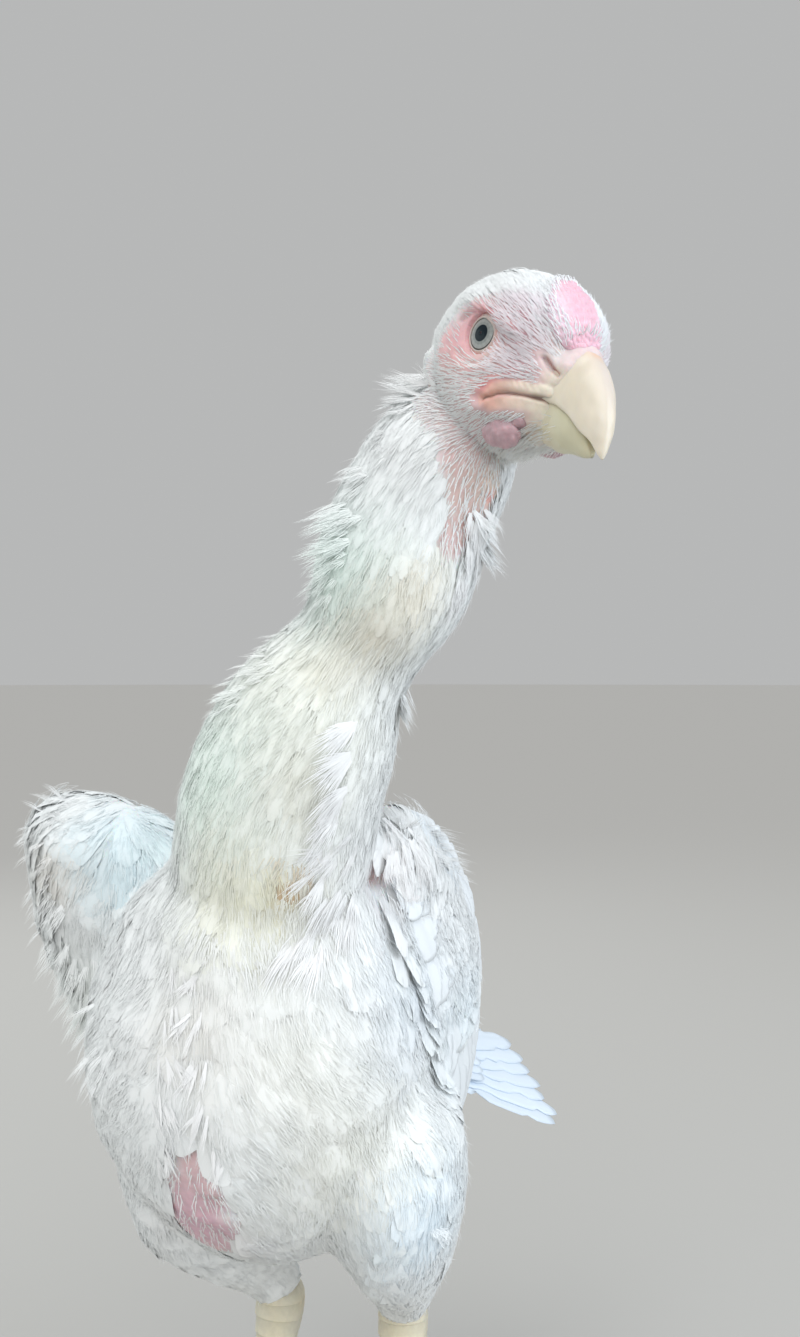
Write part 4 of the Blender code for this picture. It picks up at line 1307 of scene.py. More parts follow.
def down_tuft(length, width, count, seed):
    """A loose tuft of curved barbs that spread from one root."""
    draw = np.random.default_rng(seed)
    parts = []
    for i in range(count):
        turn = (i + 0.5) / count * 2 - 1 + draw.normal() * 0.06
        reach = length * draw.uniform(0.72, 1.05) * (1 - 0.22 * abs(turn))
        lift = draw.uniform(-0.4, 0.9)
        line = [
            (0.02 * length, 0.06 * width * turn, 0.0),
            (0.55 * reach, 0.36 * width * turn, 0.15 + 0.3 * lift),
            (reach, 0.5 * width * turn + draw.normal() * 0.3, lift),
        ]
        parts.append(blade(line, 0.3, 0.08))
    return gathered(parts, draw)


def spray(length, width, count, seed):
    """A ragged tuft of fine barbs that part towards their tips."""
    draw = np.random.default_rng(seed)
    parts = []
    for i in range(count):
        turn = (i + 0.5) / count * 2 - 1
        reach = length * draw.uniform(0.62, 1.05) * (1 - 0.2 * abs(turn))
        lift = draw.uniform(-0.3, 0.5)
        line = [
            (0.0, 0.1 * width * turn, 0.0),
            (0.6 * reach, 0.38 * width * turn, 0.1 + 0.3 * lift),
            (reach, 0.5 * width * turn + draw.normal() * 0.5, lift),
        ]
        parts.append(blade(line, 0.2, 0.06))
    return gathered(parts, draw, 0.03, 0.06)


def strands(length, width, count, seed):
    """Fine loose barbs, side by side and along each other, that lie over the coat."""
    draw = np.random.default_rng(seed)
    parts = []
    for _ in range(count):
        start = draw.uniform(0, 0.45) * length
        reach = draw.uniform(0.4, 0.58) * length
        across = draw.uniform(-0.5, 0.5) * width
        drift = draw.normal() * 0.1 * reach
        line = [(start, across, -0.12), (start + reach, across + drift, draw.uniform(0.0, 0.16))]
        parts.append(blade(line, 0.22, 0.07))
    return gathered(parts, draw, 0.05, 0.08)


def bristle(length, width, seed):
    """One stiff hair-like feather of the face."""
    draw = np.random.default_rng(seed)
    bend = draw.normal() * 0.12
    line = [(0, 0, -0.2), (0.5 * length, bend * length * 0.4, 0.12), (length, bend * length, 0.0)]
    return gathered([blade(line, width / 2, width * 0.35)], draw)


def crown_tuft(length, width, seed):
    draw = np.random.default_rng(seed)
    parts = []
    for turn in (-1, -0.5, 0, 0.5, 1):
        reach = length * draw.uniform(0.75, 1.05)
        line = [
            (0, 0.1 * turn, -0.1),
            (0.5 * reach, 0.3 * width * turn, 0.05),
            (reach, 0.42 * width * turn + draw.normal() * 0.1, draw.normal() * 0.08),
        ]
        parts.append(blade(line, 0.22, 0.06))
    return gathered(parts, draw)


class Coat:
    """Feathers to be set over the skin, gathered into pieces small enough to export."""

    # Triangles in one piece at most
    MOST = 180000
    # How much a feather's normals fan out over each millimetre of its width
    ROUNDNESS = 0.035
    # How much the light on a feather may differ from its neighbours'
    TILT = 0.04
    # Points along the path of a feather
    STEPS = 5

    def __init__(self, skin, colour):
        self.skin = skin
        self.colour = colour
        self.draw = np.random.default_rng(12)

    def paths(self, places, ways, lengths, rise, follow):
        """Lines that run over the skin from each root and lift off it towards their tips. follow is how far
        each step turns them into the lie, and without it they go straight on."""
        steps = self.STEPS
        at, normal, _ = self.skin.nearest(places)
        if follow is None:
            run = np.linspace(0, 1, steps)[None, :, None] * (ways * lengths[:, None])[:, None]
            centres, normals = at[:, None] + run, np.repeat(normal[:, None], steps, 1)
            return self.raised(centres, normals, rise)
        way = unit(ways - normal * (ways * normal).sum(1)[:, None])
        centres, normals = [at], [normal]
        for _ in range(steps - 1):
            at, normal, lie = self.skin.nearest(at + way * (lengths / (steps - 1))[:, None])
            way = unit(way * (1 - follow) + lie * follow)
            way = unit(way - normal * (way * normal).sum(1)[:, None])
            centres.append(at)
            normals.append(normal)
        return self.raised(np.stack(centres, 1), np.stack(normals, 1), rise)

    def raised(self, centres, normals, rise):
        """Lines stood off the skin by the heights of root, body and tip."""
        share = np.linspace(0, 1, centres.shape[1])
        climb = np.interp(share, (0, 0.35, 0.75, 1), (0, 0.6, 1, 1))
        tip = np.clip((share - 0.5) / 0.5, 0, 1) ** 1.5
        height = rise[:, :1] + (rise[:, 1:2] - rise[:, :1]) * climb + (rise[:, 2:] - rise[:, 1:2]) * tip
        centres = centres + normals * height[:, :, None]
        return centres, normals

    def laid(self, template, size, centres, normals, scale, tilt):
        """Copies of a template bent along paths, with the normals they are lit by. size is its length."""
        ways = unit(np.gradient(centres, axis=1))
        normals = unit(normals - ways * (normals * ways).sum(2)[:, :, None])
        sides = np.cross(normals, ways)
        steps = centres.shape[1]
        t = np.clip(template.points[:, 0] / size, -0.02, 1.08) * (steps - 1)
        i = np.clip(t.astype(int), 0, steps - 2)
        f = (t - i)[None, :, None]
        middle = centres[:, i] * (1 - f) + centres[:, i + 1] * f
        side = sides[:, i] * (1 - f) + sides[:, i + 1] * f
        up = normals[:, i] * (1 - f) + normals[:, i + 1] * f
        v = template.points[:, 1][None, :, None] * scale[:, None, None]
        w = template.points[:, 2][None, :, None] * scale[:, None, None]
        lean = v * self.ROUNDNESS + template.lean[None, :, None] + tilt[:, None, None]
        return middle + side * v + up * w, unit(up + side * lean)

    def lay(self, name, templates, size, spots, lengths, widths, rise, sway, follow, tint=None):
        """Sets feathers at spots of place, normal and lie, each turned off the lie as much as sway says."""
        places, normals, lie = spots
        ways = swayed(lie, normals, places, self.draw, *sway)
        self.pieces(name, templates, size, places, ways, lengths, widths, rise, follow, tint)

    def pieces(self, name, templates, size, places, ways, lengths, widths, rise, follow, tint=None):
        """Sets one feather at each place and makes the mesh. widths are shares of the template's own."""
        centres, normals = self.paths(places, ways, lengths, rise, follow)
        order = np.lexsort((places[:, 0], -places[:, 2].round(-1)))
        colours = self.colour(places) if tint is None else tint
        uv = unwrapped(places)
        most = max(len(t.faces[0]) for t in templates)
        chunks = max(1, math.ceil(len(places) * most / self.MOST))
        for n, part in enumerate(np.array_split(order, chunks)):
            word = f"{name}_{n + 1}"
            obj = self.piece(word, templates, size, part, centres, normals, widths, colours, uv)
            put(obj, "plumage")

    def piece(self, name, templates, size, part, centres, normals, widths, colours, uv):
        points, faces, tints, maps, shading, rims = [], [], [], [], [], []
        start = 0
        for n, template in enumerate(templates):
            mine = part[n :: len(templates)]
            if not len(mine):
                continue
            tilt = self.TILT * self.draw.normal(size=len(mine))
            laid, lit = self.laid(template, size, centres[mine], normals[mine], widths[mine], tilt)
            count = len(template.points)
            corner = template.points[template.faces[0]]
            up = np.cross(corner[:, 1] - corner[:, 0], corner[:, 2] - corner[:, 0])[:, 2] > -0.02
            facing = np.where(up, 1.0, -1.0)[None, :, None, None]
            rim = rims_of(template.faces[0], up)
            shading.append((lit[:, template.faces[0]] * facing).reshape(-1, 3))
            points.append(laid.reshape(-1, 3))
            steps = start + np.arange(len(mine))[:, None, None] * count
            faces.append((template.faces[0][None] + steps).reshape(-1, 3))
            rims.append((rim[None] + steps).reshape(-1, 2))
            start += len(mine) * count
            share = np.clip(template.points[:, 0] / size, 0, 1)
            # Each feather is painted a little darker towards its root, as painted shade under the feathers
            # that overlap it, times each barb's own random brightness
            shade = ((0.975 + 0.025 * share) * template.shade)[None, :, None]
            tints.append((colours[mine][:, None] * shade).reshape(-1, 3))
            flat = np.c_[share - 0.5, template.points[:, 1] / size] * COAT_PATCH
            maps.append((uv[mine][:, None] + flat[None]).reshape(-1, 2))
        shape = Shape(np.concatenate(points), np.concatenate(faces))
        tints, maps, shading = np.concatenate(tints), np.concatenate(maps), np.concatenate(shading)
        return make_object(name, shape, MATERIALS["plumage"], tints, maps, shading, np.concatenate(rims))


def shader_of(name, inputs):
    """A new material, with the inputs of its shader set."""
    material = bpy.data.materials.new(name)
    material.use_nodes = True
    shader = material.node_tree.nodes["Principled BSDF"]
    for word, value in inputs.items():
        shader.inputs[word].default_value = value
    return material, shader


def soft(weight, radius, scale):
    """Inputs of a shader for light that goes a little way in, scale in millimetres."""
    return {"Subsurface Weight": weight, "Subsurface Radius": radius, "Subsurface Scale": scale * MM}


def glossed(weight, roughness):
    return {"Coat Weight": weight, "Coat Roughness": roughness}


def textured(nodes, links, scale, detail, stretch):
    place = nodes.new("ShaderNodeTexCoord")
    mapping = nodes.new("ShaderNodeMapping")
    mapping.inputs["Scale"].default_value = stretch
    noise_node = nodes.new("ShaderNodeTexNoise")
    noise_node.inputs["Scale"].default_value = scale
    noise_node.inputs["Detail"].default_value = detail
    links.new(place.outputs["Object"], mapping.inputs["Vector"])
    links.new(mapping.outputs["Vector"], noise_node.inputs["Vector"])
    return noise_node.outputs["Fac"]


def multiplied(nodes, links, colour, fine, low, high):
    """A colour times a noise that is spread from low to high."""
    spread = nodes.new("ShaderNodeMapRange")
    spread.inputs["To Min"].default_value = low
    spread.inputs["To Max"].default_value = high
    links.new(fine, spread.inputs["Value"])
    mix = nodes.new("ShaderNodeMix")
    mix.data_type = "RGBA"
    mix.blend_type = "MULTIPLY"
    mix.inputs["Factor"].default_value = 1.0
    links.new(colour, mix.inputs["A"])
    links.new(spread.outputs["Result"], mix.inputs["B"])
    return mix.outputs["Result"]


def tinted_material(name, inputs, grain=None, relief=None):
    """A material in a piece's own tint. grain is a fine noise over it: scale, detail, stretch, darkest and
    lightest. relief is the strength and height of the bumps of that noise."""
    material, shader = shader_of(name, inputs)
    nodes, links = material.node_tree.nodes, material.node_tree.links
    tint = nodes.new("ShaderNodeAttribute")
    tint.attribute_name = "tint"
    colour = tint.outputs["Color"]
    if grain is not None:
        fine = textured(nodes, links, *grain[:3])
        colour = multiplied(nodes, links, colour, fine, *grain[3:])
    links.new(colour, shader.inputs["Base Color"])
    if relief is not None:
        bump = nodes.new("ShaderNodeBump")
        bump.inputs["Strength"].default_value = relief[0]
        bump.inputs["Distance"].default_value = relief[1] * MM
        links.new(fine, bump.inputs["Height"])
        links.new(bump.outputs["Normal"], shader.inputs["Normal"])
    return material


def horn_material(name, roughness, stretch):
    inputs = {"Roughness": roughness, **glossed(0.25, 0.25), **soft(0.15, (1.0, 0.7, 0.4), 1.5)}
    return tinted_material(name, inputs, (260.0, 5.0, stretch, 0.9, 1.08), (0.18, 0.15))


EVEN = (1, 1, 1)
MATERIALS = {
    "plumage": tinted_material("white_plumage", {"Roughness": 0.7, "Specular IOR Level": 0.2}),
    "skin": tinted_material(
        "face_skin",
        {"Roughness": 0.5, "Specular IOR Level": 0.4, **soft(0.25, (1.0, 0.35, 0.2), 1.6)},
        (420.0, 6.0, EVEN, 0.82, 1.12),
        (0.5, 0.35),
    ),
    "comb": tinted_material(
        "comb_skin",
        {"Roughness": 0.42, **soft(0.3, (1.0, 0.3, 0.25), 1.5)},
        (650.0, 5.0, EVEN, 0.85, 1.15),
        (0.55, 0.35),
    ),
    "horn": horn_material("bill_horn", 0.33, (1, 1, 0.35)),
    "claw": horn_material("claw_horn", 0.38, EVEN),
    "scales": tinted_material(
        "shank_scales",
        {"Roughness": 0.42, **glossed(0.1, 0.3), **soft(0.12, (1.0, 0.6, 0.3), 1.2)},
        (500.0, 5.0, EVEN, 0.86, 1.1),
        (0.3, 0.2),
    ),
    "eye": tinted_material(
        "eye",
        {"Roughness": 0.08, "Specular IOR Level": 0.12, **glossed(0.05, 0.02)},
        (1500.0, 4.0, EVEN, 0.88, 1.1),
    ),
}


def make_skin():
    shape = sculpt_face(make_skin_shape())
    skin = Skin(shape)
    bare = bareness(shape.points, skin)
    colour = skin_colour(shape.points, skin.tree)
    down = coat_colour(shape.points, skin.tree) * 0.97
    colour = down + (colour - down) * bare[:, None]
    put(make_object("skin", shape, MATERIALS["skin"], colour), "face_skin", "head", *FLESH_NODES)
    return skin


def bareness(points, skin):
    """1 where the skin shows bare or through thin feathers, 0 under the dense coat."""
    head = to_head(points)
    fold = folded(head)
    face = 1 - ease(np.linalg.norm((fold - (16, 10, -4)) * (0.8, 0.7, 1), axis=1), 17, 27)
    face = np.maximum(face, 1 - ease(np.linalg.norm(fold - (0, 16, -8), axis=1), 14, 22))
    for pixel, radius in BARE_SPOTS:
        at = seen(skin.tree, pixel)
        face = np.maximum(face, 1 - ease(np.linalg.norm(points - at, axis=1), radius * 0.7, radius * 1.3))
    return face


def make_eye(side):
    """An eyeball in rings round its gaze: pupil, pearly iris flatter than the ball, dark rim, and the ball
    under the lids painted dark as painted shade.
    """
    out = unit(mirrored(EYE_OUT, side))
    across = unit(np.cross(out, (0, 0, 1)))
    up = np.cross(across, out)
    pupil, iris = 20.0, 38.0
    bands = [0.0, 8, 15, pupil - 0.5, pupil + 0.5, 25, 30, 34, iris - 0.6, iris + 0.6]
    bands += [46, 52, 60, 75, 95, 120, 150, 178]
    shades = {
        0: (0.008, 0.016, 0.022),
        pupil: (0.27, 0.29, 0.28),
        30: (0.37, 0.385, 0.37),
        iris: (0.06, 0.055, 0.05),
        # Painted shade on the ball under the lids
        46: (0.24, 0.20, 0.19),
    }
    rim = math.cos(math.radians(iris))
    angle = turns(64)
    rings, tints = [], []
    for band in bands:
        off, along = math.sin(math.radians(band)), math.cos(math.radians(band))
        if band < iris:
            along = rim + 0.4 * (along - rim)
        rings.append(EYE_RADIUS * (along * out + oval(angle, across, up, off, off)))
        shade = [colour for limit, colour in shades.items() if band >= limit][-1]
        shade = np.tile(shade, (64, 1))
        if pupil <= band < iris:
            shade = shade * (1 + 0.12 * np.sin(angle * 23)[:, None] * np.sin(angle * 9 + 1)[:, None])
        tints.append(shade)
    shape = loft(rings)
    shape.points = from_head(shape.points + mirrored(EYE_AT, side))
    tints = np.concatenate([*tints, [tints[0][0]], [tints[-1][0]]])
    word = side_word(side)
    put(make_object(f"eyeball_{word}", shape, MATERIALS["eye"], tints), "eye", f"eye_{word}")


def make_lids(side):
    """The wrinkled ring of the lids: a thin margin on the eyeball that runs out into the skin."""
    out = unit(mirrored(EYE_OUT, side))
    ahead = unit(np.cross(out, (0, 0, side)))
    up = unit(np.array((0, 0, 1)) - out * out[2])
    rings, tints = [], []
    for turn in turns(128):
        way = math.cos(turn) * ahead + math.sin(turn) * up
        off_brow = (turn - math.radians(62) + math.pi) % (2 * math.pi) - math.pi
        cut = 0.8 * math.exp(-((off_brow / 0.75) ** 2))
        brow = 0.5 * (1 + math.sin(turn)) * 0.5 + 0.9 * cut
        pucker = 0.10 * math.sin(turn * 31) + 0.07 * math.sin(turn * 17 + 1)
        ring = []
        for beyond, lift, rough in LID_PROFILE:
            off = LID_OPENING + beyond
            off -= cut * max(0.0, 1 - (off - LID_OPENING) / 5)
            ball = math.sqrt(max(EYE_RADIUS**2 - off**2, 6.0))
            ring.append(way * off + out * (ball + lift + rough * (pucker + brow)))
            pale = LID_MARGIN if off < LID_OPENING + 0.6 else LID_SKIN
            # The rim where the lid tucks against the eyeball is painted dark, as painted shade
            edge = 0.3 if lift < 0.2 and off < LID_OPENING + 0.4 else 1.0
            # The wrinkles are painted lighter on their ridges and darker in their grooves, as painted shade
            tints.append(np.array(pale) * edge * (1 + 0.25 * pucker * rough))
        rings.append(ring)
    shape = hoop(rings)
    shape.points = from_head(shape.points + mirrored(EYE_AT, side))
    put(make_object(f"lids_{side_word(side)}", shape, MATERIALS["skin"], np.array(tints)), "face_skin")


def make_bill():
    horn = np.array((0.80, 0.715, 0.575))
    for word, rows, shape in (("upper", BILL_UPPER, UPPER_SHAPE), ("lower", BILL_LOWER, LOWER_SHAPE)):
        form = bill_form(rows, shape, 90, 29)
        points = form.points
        growth = 0.05 * noise(points * (1, 1, 0.4), 1.2, 9) + 0.12 * noise(points, 5.0, 8)
        rim = bell(points[:, 0] - HORN_SLANT * points[:, 2] - 38.0, 1.6) * 0.18
        form.points = points + point_normals(form) * (growth - rim - 0.1)[:, None]
        if word == "upper":
            ridge = bell(points[:, 1], 3.6) * ease(points[:, 2], -20, 2)
            colour = toward(horn, (0.72, 0.63, 0.58), ridge * 0.8)
            colour = toward(colour, (0.84, 0.76, 0.64), ease(-points[:, 2], 8, 22) * 0.6)
            orange = bell(np.linalg.norm(points - (36.6, 0, 5.4), axis=1), 2.8)
            colour = toward(colour, (0.84, 0.50, 0.30), orange * 0.75)
        else:
            front = ease(points[:, 0], 24, 38)
            colour = toward(np.array((0.74, 0.66, 0.50)), (0.66, 0.62, 0.44), front)
        form.points = from_head(form.points)
        put(make_object(f"{word}_bill", form, MATERIALS["horn"], colour), "bill_horn", f"bill_{word}")


def bumpy_pad(centre, size, slope, rows, seed, bump, lumps):
    """A squashed ball with rows of small lumps on it, in the head's axes."""
    around = turns(2 * rows)
    rings = []
    for turn in np.linspace(0, math.pi, rows)[1:-1]:
        along, off = math.cos(turn), math.sin(turn)
        rings.append(np.c_[np.full(2 * rows, along), off * np.cos(around), off * np.sin(around)])
    shape = loft(rings)
    ball = shape.points
    lean = np.array(turning(slope, "Y"))
    points = ball * size @ lean.T
    relief = lumps * np.maximum(noise(points, bump, seed), -0.4)
    relief += 0.4 * lumps * noise(points, bump * 0.45, seed + 1)
    shape.points = points + unit(ball / size) @ lean.T * relief[:, None] + centre
    return shape, relief


def make_comb():
    """A low pea comb: three pebbled rows, narrow on the crown and wider over the bill. Returns its shape."""
    shape, relief = bumpy_pad((0, 0, 0), COMB_SIZE, COMB_SLOPE, 120, 21, 0.95, 0.24)
    down = np.array(turning(COMB_SLOPE, "Y"))[:, 0]
    along = shape.points @ down
    shape.points[:, 1] *= 0.92 + 0.010 * along
    local = shape.points
    ridge = bell(local[:, 1], 2.2) + 0.6 * bell(np.abs(local[:, 1]) - 5.2, 1.5)
    rise = 0.45 * ridge * (1 + 0.4 * np.sin(along * 2.3)) + 0.2
    shape.points = local + point_normals(shape) * rise[:, None]
    # Lumps painted lighter and the hollows between them darker, as painted shade
    colour = np.array((0.86, 0.53, 0.63)) * (1 + 0.3 * relief[:, None])
    colour = toward(colour, (0.90, 0.72, 0.80), ease(np.abs(local[:, 1]), 3.5, 8) * 0.7)
    shape.points = from_head(shape.points + COMB_AT + np.array((0.2, COMB_LEAN, 0)))
    put(make_object("pea_comb", shape, MATERIALS["comb"], np.clip(colour, 0, 0.95)), "comb_skin", "comb")
    return shape


def make_wattle(side):
    shape, _ = bumpy_pad(mirrored(WATTLE_AT, side), WATTLE_SIZE, 12, 70, 31, 2.2, 0.28)
    bulb, _ = bumpy_pad(mirrored((22.6, 9.4, -17.6), side), (2.6, 2.0, 2.0), 0, 36, 33, 1.5, 0.12)
    whole = shape.joined(bulb)
    whole.points[:, 2] += 1.6 * (side > 0)
    local = whole.points
    folds = 0.22 * noise(local * (0.6, 1, 1), 1.5, 35)
    whole.points = local + point_normals(whole) * folds[:, None]
    # Darker in the folds and lighter on their ridges, as painted shade
    colour = np.tile((0.50, 0.33, 0.36), (len(local), 1)) * (1 + 0.5 * folds[:, None])
    whole.points = from_head(whole.points)
    word = side_word(side)
    obj = make_object(f"wattle_lobe_{word}", whole, MATERIALS["comb"], np.clip(colour, 0, 0.95))
    put(obj, "comb_skin", f"wattle_{word}")


def scute_relief(along, around, front, count):
    """Height of the leg's scales: broad overlapping plates in front, small rounded ones elsewhere."""
    step = (along * count) % 1.0
    plate = 0.75 * step**0.8 * ease(1 - step, 0, 0.08) - 0.1
    cells = 26
    row = np.floor(along * count * 2.6)
    cell = np.abs(((around * cells + 0.5 * row) % 1.0) - 0.5)
    across = np.abs((along * count * 2.6) % 1.0 - 0.5)
    small = 0.34 * (1 - (2 * cell) ** 3) * (1 - (2 * across) ** 3)
    return small + (plate - small) * front


def scaled_tube(rows, count, sides, plates):
    """A leg part with scales, plated in front, from rows of centre, half width and half depth."""
    rows = smooth_rows(rows, count)
    centres = rows[:, :3]
    run = np.r_[0, np.cumsum(np.linalg.norm(np.diff(centres, axis=0), axis=1))]
    run /= run[-1]
    angle = turns(sides)
    rings, relief = [], []
    for centre, tangent, row, along in zip(centres, frames_along(centres), rows, run):
        across = unit(np.array((1.0, 0, 0)) - tangent * tangent[0])
        front = np.cross(tangent, across)
        out = oval(angle, across, front, row[3], row[4])
        rise = scute_relief(along, angle / (2 * math.pi), ease(np.sin(angle), 0.05, 0.35), plates)
        rise = rise * (0.2 + 0.8 * math.sin(math.pi * np.clip(along, 0.03, 0.97)) ** 0.3)
        rings.append(centre + out + unit(out) * rise[:, None])
        relief.append(rise)
    shape = loft(rings)
    return shape, np.r_[np.concatenate(relief), 0, 0]


def leg_colour(points, relief):
    base = np.array((0.76, 0.70, 0.54))
    # Lighter on the raised scales and darker in the grooves between them, as painted shade
    colour = base * (0.86 + 0.28 * np.clip(relief, 0, 0.7)[:, None])
    colour += np.array((0.02, 0.005, -0.02)) * noise(points, 7.0, 40)[:, None]
    return np.clip(colour, 0, 0.95)


def make_leg(side):
    word = side_word(side)
    shape, relief = scaled_tube(SHANK, 260, 56, 17)
    shape.points = shape.points * (side, 1, 1)
    colour = leg_colour(shape.points, relief)
    obj = make_object(f"scaled_shank_{word}", outward(shape), MATERIALS["scales"], colour)
    put(obj, "shank_scales", f"shank_{word}")
    foot, relief = bumpy_pad((0, 0, 0), FOOT_SIZE, 0, 48, 50, 1.6, 0.3)
    foot.points = (foot.points + FOOT_AT) * (side, 1, 1)
    whole, heights = outward(foot), [relief]
    for toe, heading, length, radius, claw in TOES:
        part, rise, tip, ahead = make_toe(heading, length, radius, side)
        whole = whole.joined(part)
        heights.append(rise)
        make_claw(f"{word}_{toe}", tip, ahead, claw)
    whole.points[:, 2] = np.maximum(whole.points[:, 2], 0.15)
    heights = np.concatenate(heights)
    obj = make_object(f"scaled_foot_{word}", whole, MATERIALS["scales"], leg_colour(whole.points, heights))
    put(obj, "shank_scales", f"foot_{word}")


def make_toe(heading, length, radius, side):
    turn = math.radians(heading)
    ahead = np.array((math.sin(turn) * side, -math.cos(turn), 0.0))
    across = np.array((ahead[1], -ahead[0], 0.0))
    root = np.array(FOOT_AT) * (side, 1, 1)
    rows = smooth_rows(TOE_SHAPE, 120)
    angle = turns(32)
    plates = max(5, round(length / 3.6))
    rings, relief = [], []
    for share, girth in rows:
        r = radius * girth
        centre = root + ahead * length * share
        centre[2] = r * 0.92 - FLOOR_CUT + 4.5 * max(0.0, 1 - share * 3) ** 2
        out = oval(angle, across, (0, 0, 1), r, np.where(np.sin(angle) > 0, r, 0.92 * r))
        top = ease(np.sin(angle), -0.1, 0.4)
        rise = scute_relief(np.clip(share, 0, 0.999), angle / (2 * math.pi), top, plates) * 0.8
        rings.append(centre + out + unit(out) * rise[:, None])
        relief.append(rise)
    shape = loft(rings)
    return shape, np.r_[np.concatenate(relief), 0, 0], root + ahead * length, ahead


def make_claw(name, tip, ahead, length):
    up = np.array((0, 0, 1.0))
    across = np.array((ahead[1], -ahead[0], 0.0))
    angle = turns(28)
    rings, shares = [], []
    for share in np.linspace(0, 1, 40):
        radius = 2.7 * (1 - 0.78 * share) * math.sqrt(1 - max(0.0, share - 0.86) ** 2 / 0.02)
        rise = 3.6 + 1.6 * math.sin(share * math.pi * 0.9) - 2.4 * share**2
        centre = tip + ahead * (length * (share - 0.22))
        centre[2] = max(rise, 2.7 * (1 - 0.78 * share) + 0.4)
        ridge = radius * (1 + 0.12 * np.maximum(np.sin(angle), 0) ** 6)
        rings.append(centre + oval(angle, across, up, ridge * 0.8, ridge))
        shares += [share] * 28
    shares = np.r_[shares, 0, 1]
    shape = loft(rings)
    colour = toward(np.array((0.82, 0.74, 0.58)), (0.70, 0.63, 0.52), shares)
    obj = make_object(f"claw_horn_{name}", shape, MATERIALS["claw"], colour)
    put(obj, "claw_horn", f"claw_{name}")


def flight_vane(seed, stations=15):
    """A large feather in shares of its length and half width: a thin vane with a shaft and worn edges."""
    draw = np.random.default_rng(seed)
    across, splits = 7, 3
    u = np.linspace(0, 1, stations)
    v = np.linspace(-1, 1, across)
    left = outline(u, 0.7, 0.3)
    right = outline(u, 0.62, 0.25)
    for half in (left, right):
        half[3:-1] *= 1 - 0.06 * draw.random(stations - 4)
        for _ in range(splits):
            half[draw.integers(4, stations - 1)] *= draw.uniform(0.62, 0.85)
    top, low = [], []
    for i in range(stations):
        for x in v:
            y = x * (left[i] if x < 0 else right[i])
            shaft = 0.55 * (1 - u[i]) + 0.1 if x == 0 else 0.0
            curl = -0.5 * abs(x) ** 2
            forward = 0.10 * abs(x) * (1 - u[i]) * (u[i] > 0)
            top.append((u[i] + forward, y, curl + shaft))
            low.append((u[i] + forward, y, curl - 0.28))
    return consistent(Shape(np.array(top + low), leaf_faces(stations, across)))


def leaf_faces(stations, across):
    """Triangles of a closed leaf: a grid of points on top and the same grid below."""
    count = stations * across
    faces = []
    for i in range(stations - 1):
        for j in range(across - 1):
            a, b = i * across + j, i * across + j + 1
            c, d = a + across, b + across
            faces += [(a, c, d), (a, d, b)]
            faces += [(count + a, count + d, count + c), (count + a, count + b, count + d)]
        for j in (0, across - 1):
            a, c = i * across + j, (i + 1) * across + j
            faces += [(a, count + a, count + c), (a, count + c, c)]
    for i in (0, stations - 1):
        for j in range(across - 1):
            a, b = i * across + j, i * across + j + 1
            faces += [(a, b, count + b), (a, count + b, count + a)]
    return faces


def consistent(shape):
    """Faces turned alike and outwards, for a small template."""
    work = bmesh.new()
    verts = [work.verts.new(p) for p in shape.points]
    for row in shape.faces[0]:
        work.faces.new([verts[n] for n in row])
    bmesh.ops.recalc_face_normals(work, faces=work.faces)
    work.verts.index_update()
    faces = [[v.index for v in f.verts] for f in work.faces]
    work.free()
    return Shape(shape.points, faces)


def set_vanes(name, node, rows, colour):
    """Feathers from rows of (template, map from shares to points, root), joined into one piece."""
    draw = np.random.default_rng(62)
    points, faces, tints, maps = [], [], [], []
    start = 0
    for template, place, root in rows:
        laid = place(template.points)
        points.append(laid)
        faces.append(template.faces[0] + start)
        start += len(laid)
        shaft = bell(template.points[:, 1], 0.08)[:, None]
        tints.append(np.tile(colour, (len(laid), 1)) * draw.uniform(0.94, 1.0) * (1 - 0.04 * shaft))
        maps.append(unwrapped(root[None])[0] + (template.points[:, :2] - (0.5, 0)) * VANE_PATCH)
    shape = outward(Shape(np.concatenate(points), np.concatenate(faces)))
    tints = np.clip(np.concatenate(tints), 0, 0.97)
    obj = make_object(name, shape, MATERIALS["plumage"], tints, np.concatenate(maps))
    return put(obj, "flight_feathers", node)


def wing_rows(side):
    draw = np.random.default_rng(60)
    templates = [flight_vane(seed) for seed in range(8)]
    spread = RIGHT_WING_SPREAD if side < 0 else 0.0
    rows = []
    for tier, (count, first, last, under) in enumerate(WING_TIERS):
        for i in range(count):
            a, b, length, width, heading = np.array(first) + (np.array(last) - first) * i / (count - 1)
            length *= draw.uniform(0.88, 1.06)
            b += 6.0 * (side < 0) * (1 - i / (count - 1))
            turn = math.radians(heading + draw.uniform(-2.5, 2.5))
            tilt = 0.13 + draw.uniform(-0.02, 0.02)
            place = wing_place(a, b, length, width * 0.62, turn, under, tilt, side, spread)
            rows.append((templates[(tier * 3 + i) % 8], place, wing_surface(a, b, 0, spread) * (side, 1, 1)))
    return rows


def wing_place(a, b, length, half, turn, under, tilt, side, spread):
    """The map from a template's shares to points on a wing's outer face."""
    def place(points):
        along, across = points[:, 0] * length, points[:, 1] * half
        run_a = a + along * math.cos(turn) - across * math.sin(turn)
        run_b = b + along * math.sin(turn) + across * math.cos(turn)
        rise = np.interp(points[:, 0], (0, 0.2, 0.82, 1.0), (-2.0, 0.4, 2.6, 2.8))
        lift = rise - under + across * tilt + points[:, 2]
        return wing_surface(run_a, run_b, lift, spread) * (side, 1, 1)

    return place


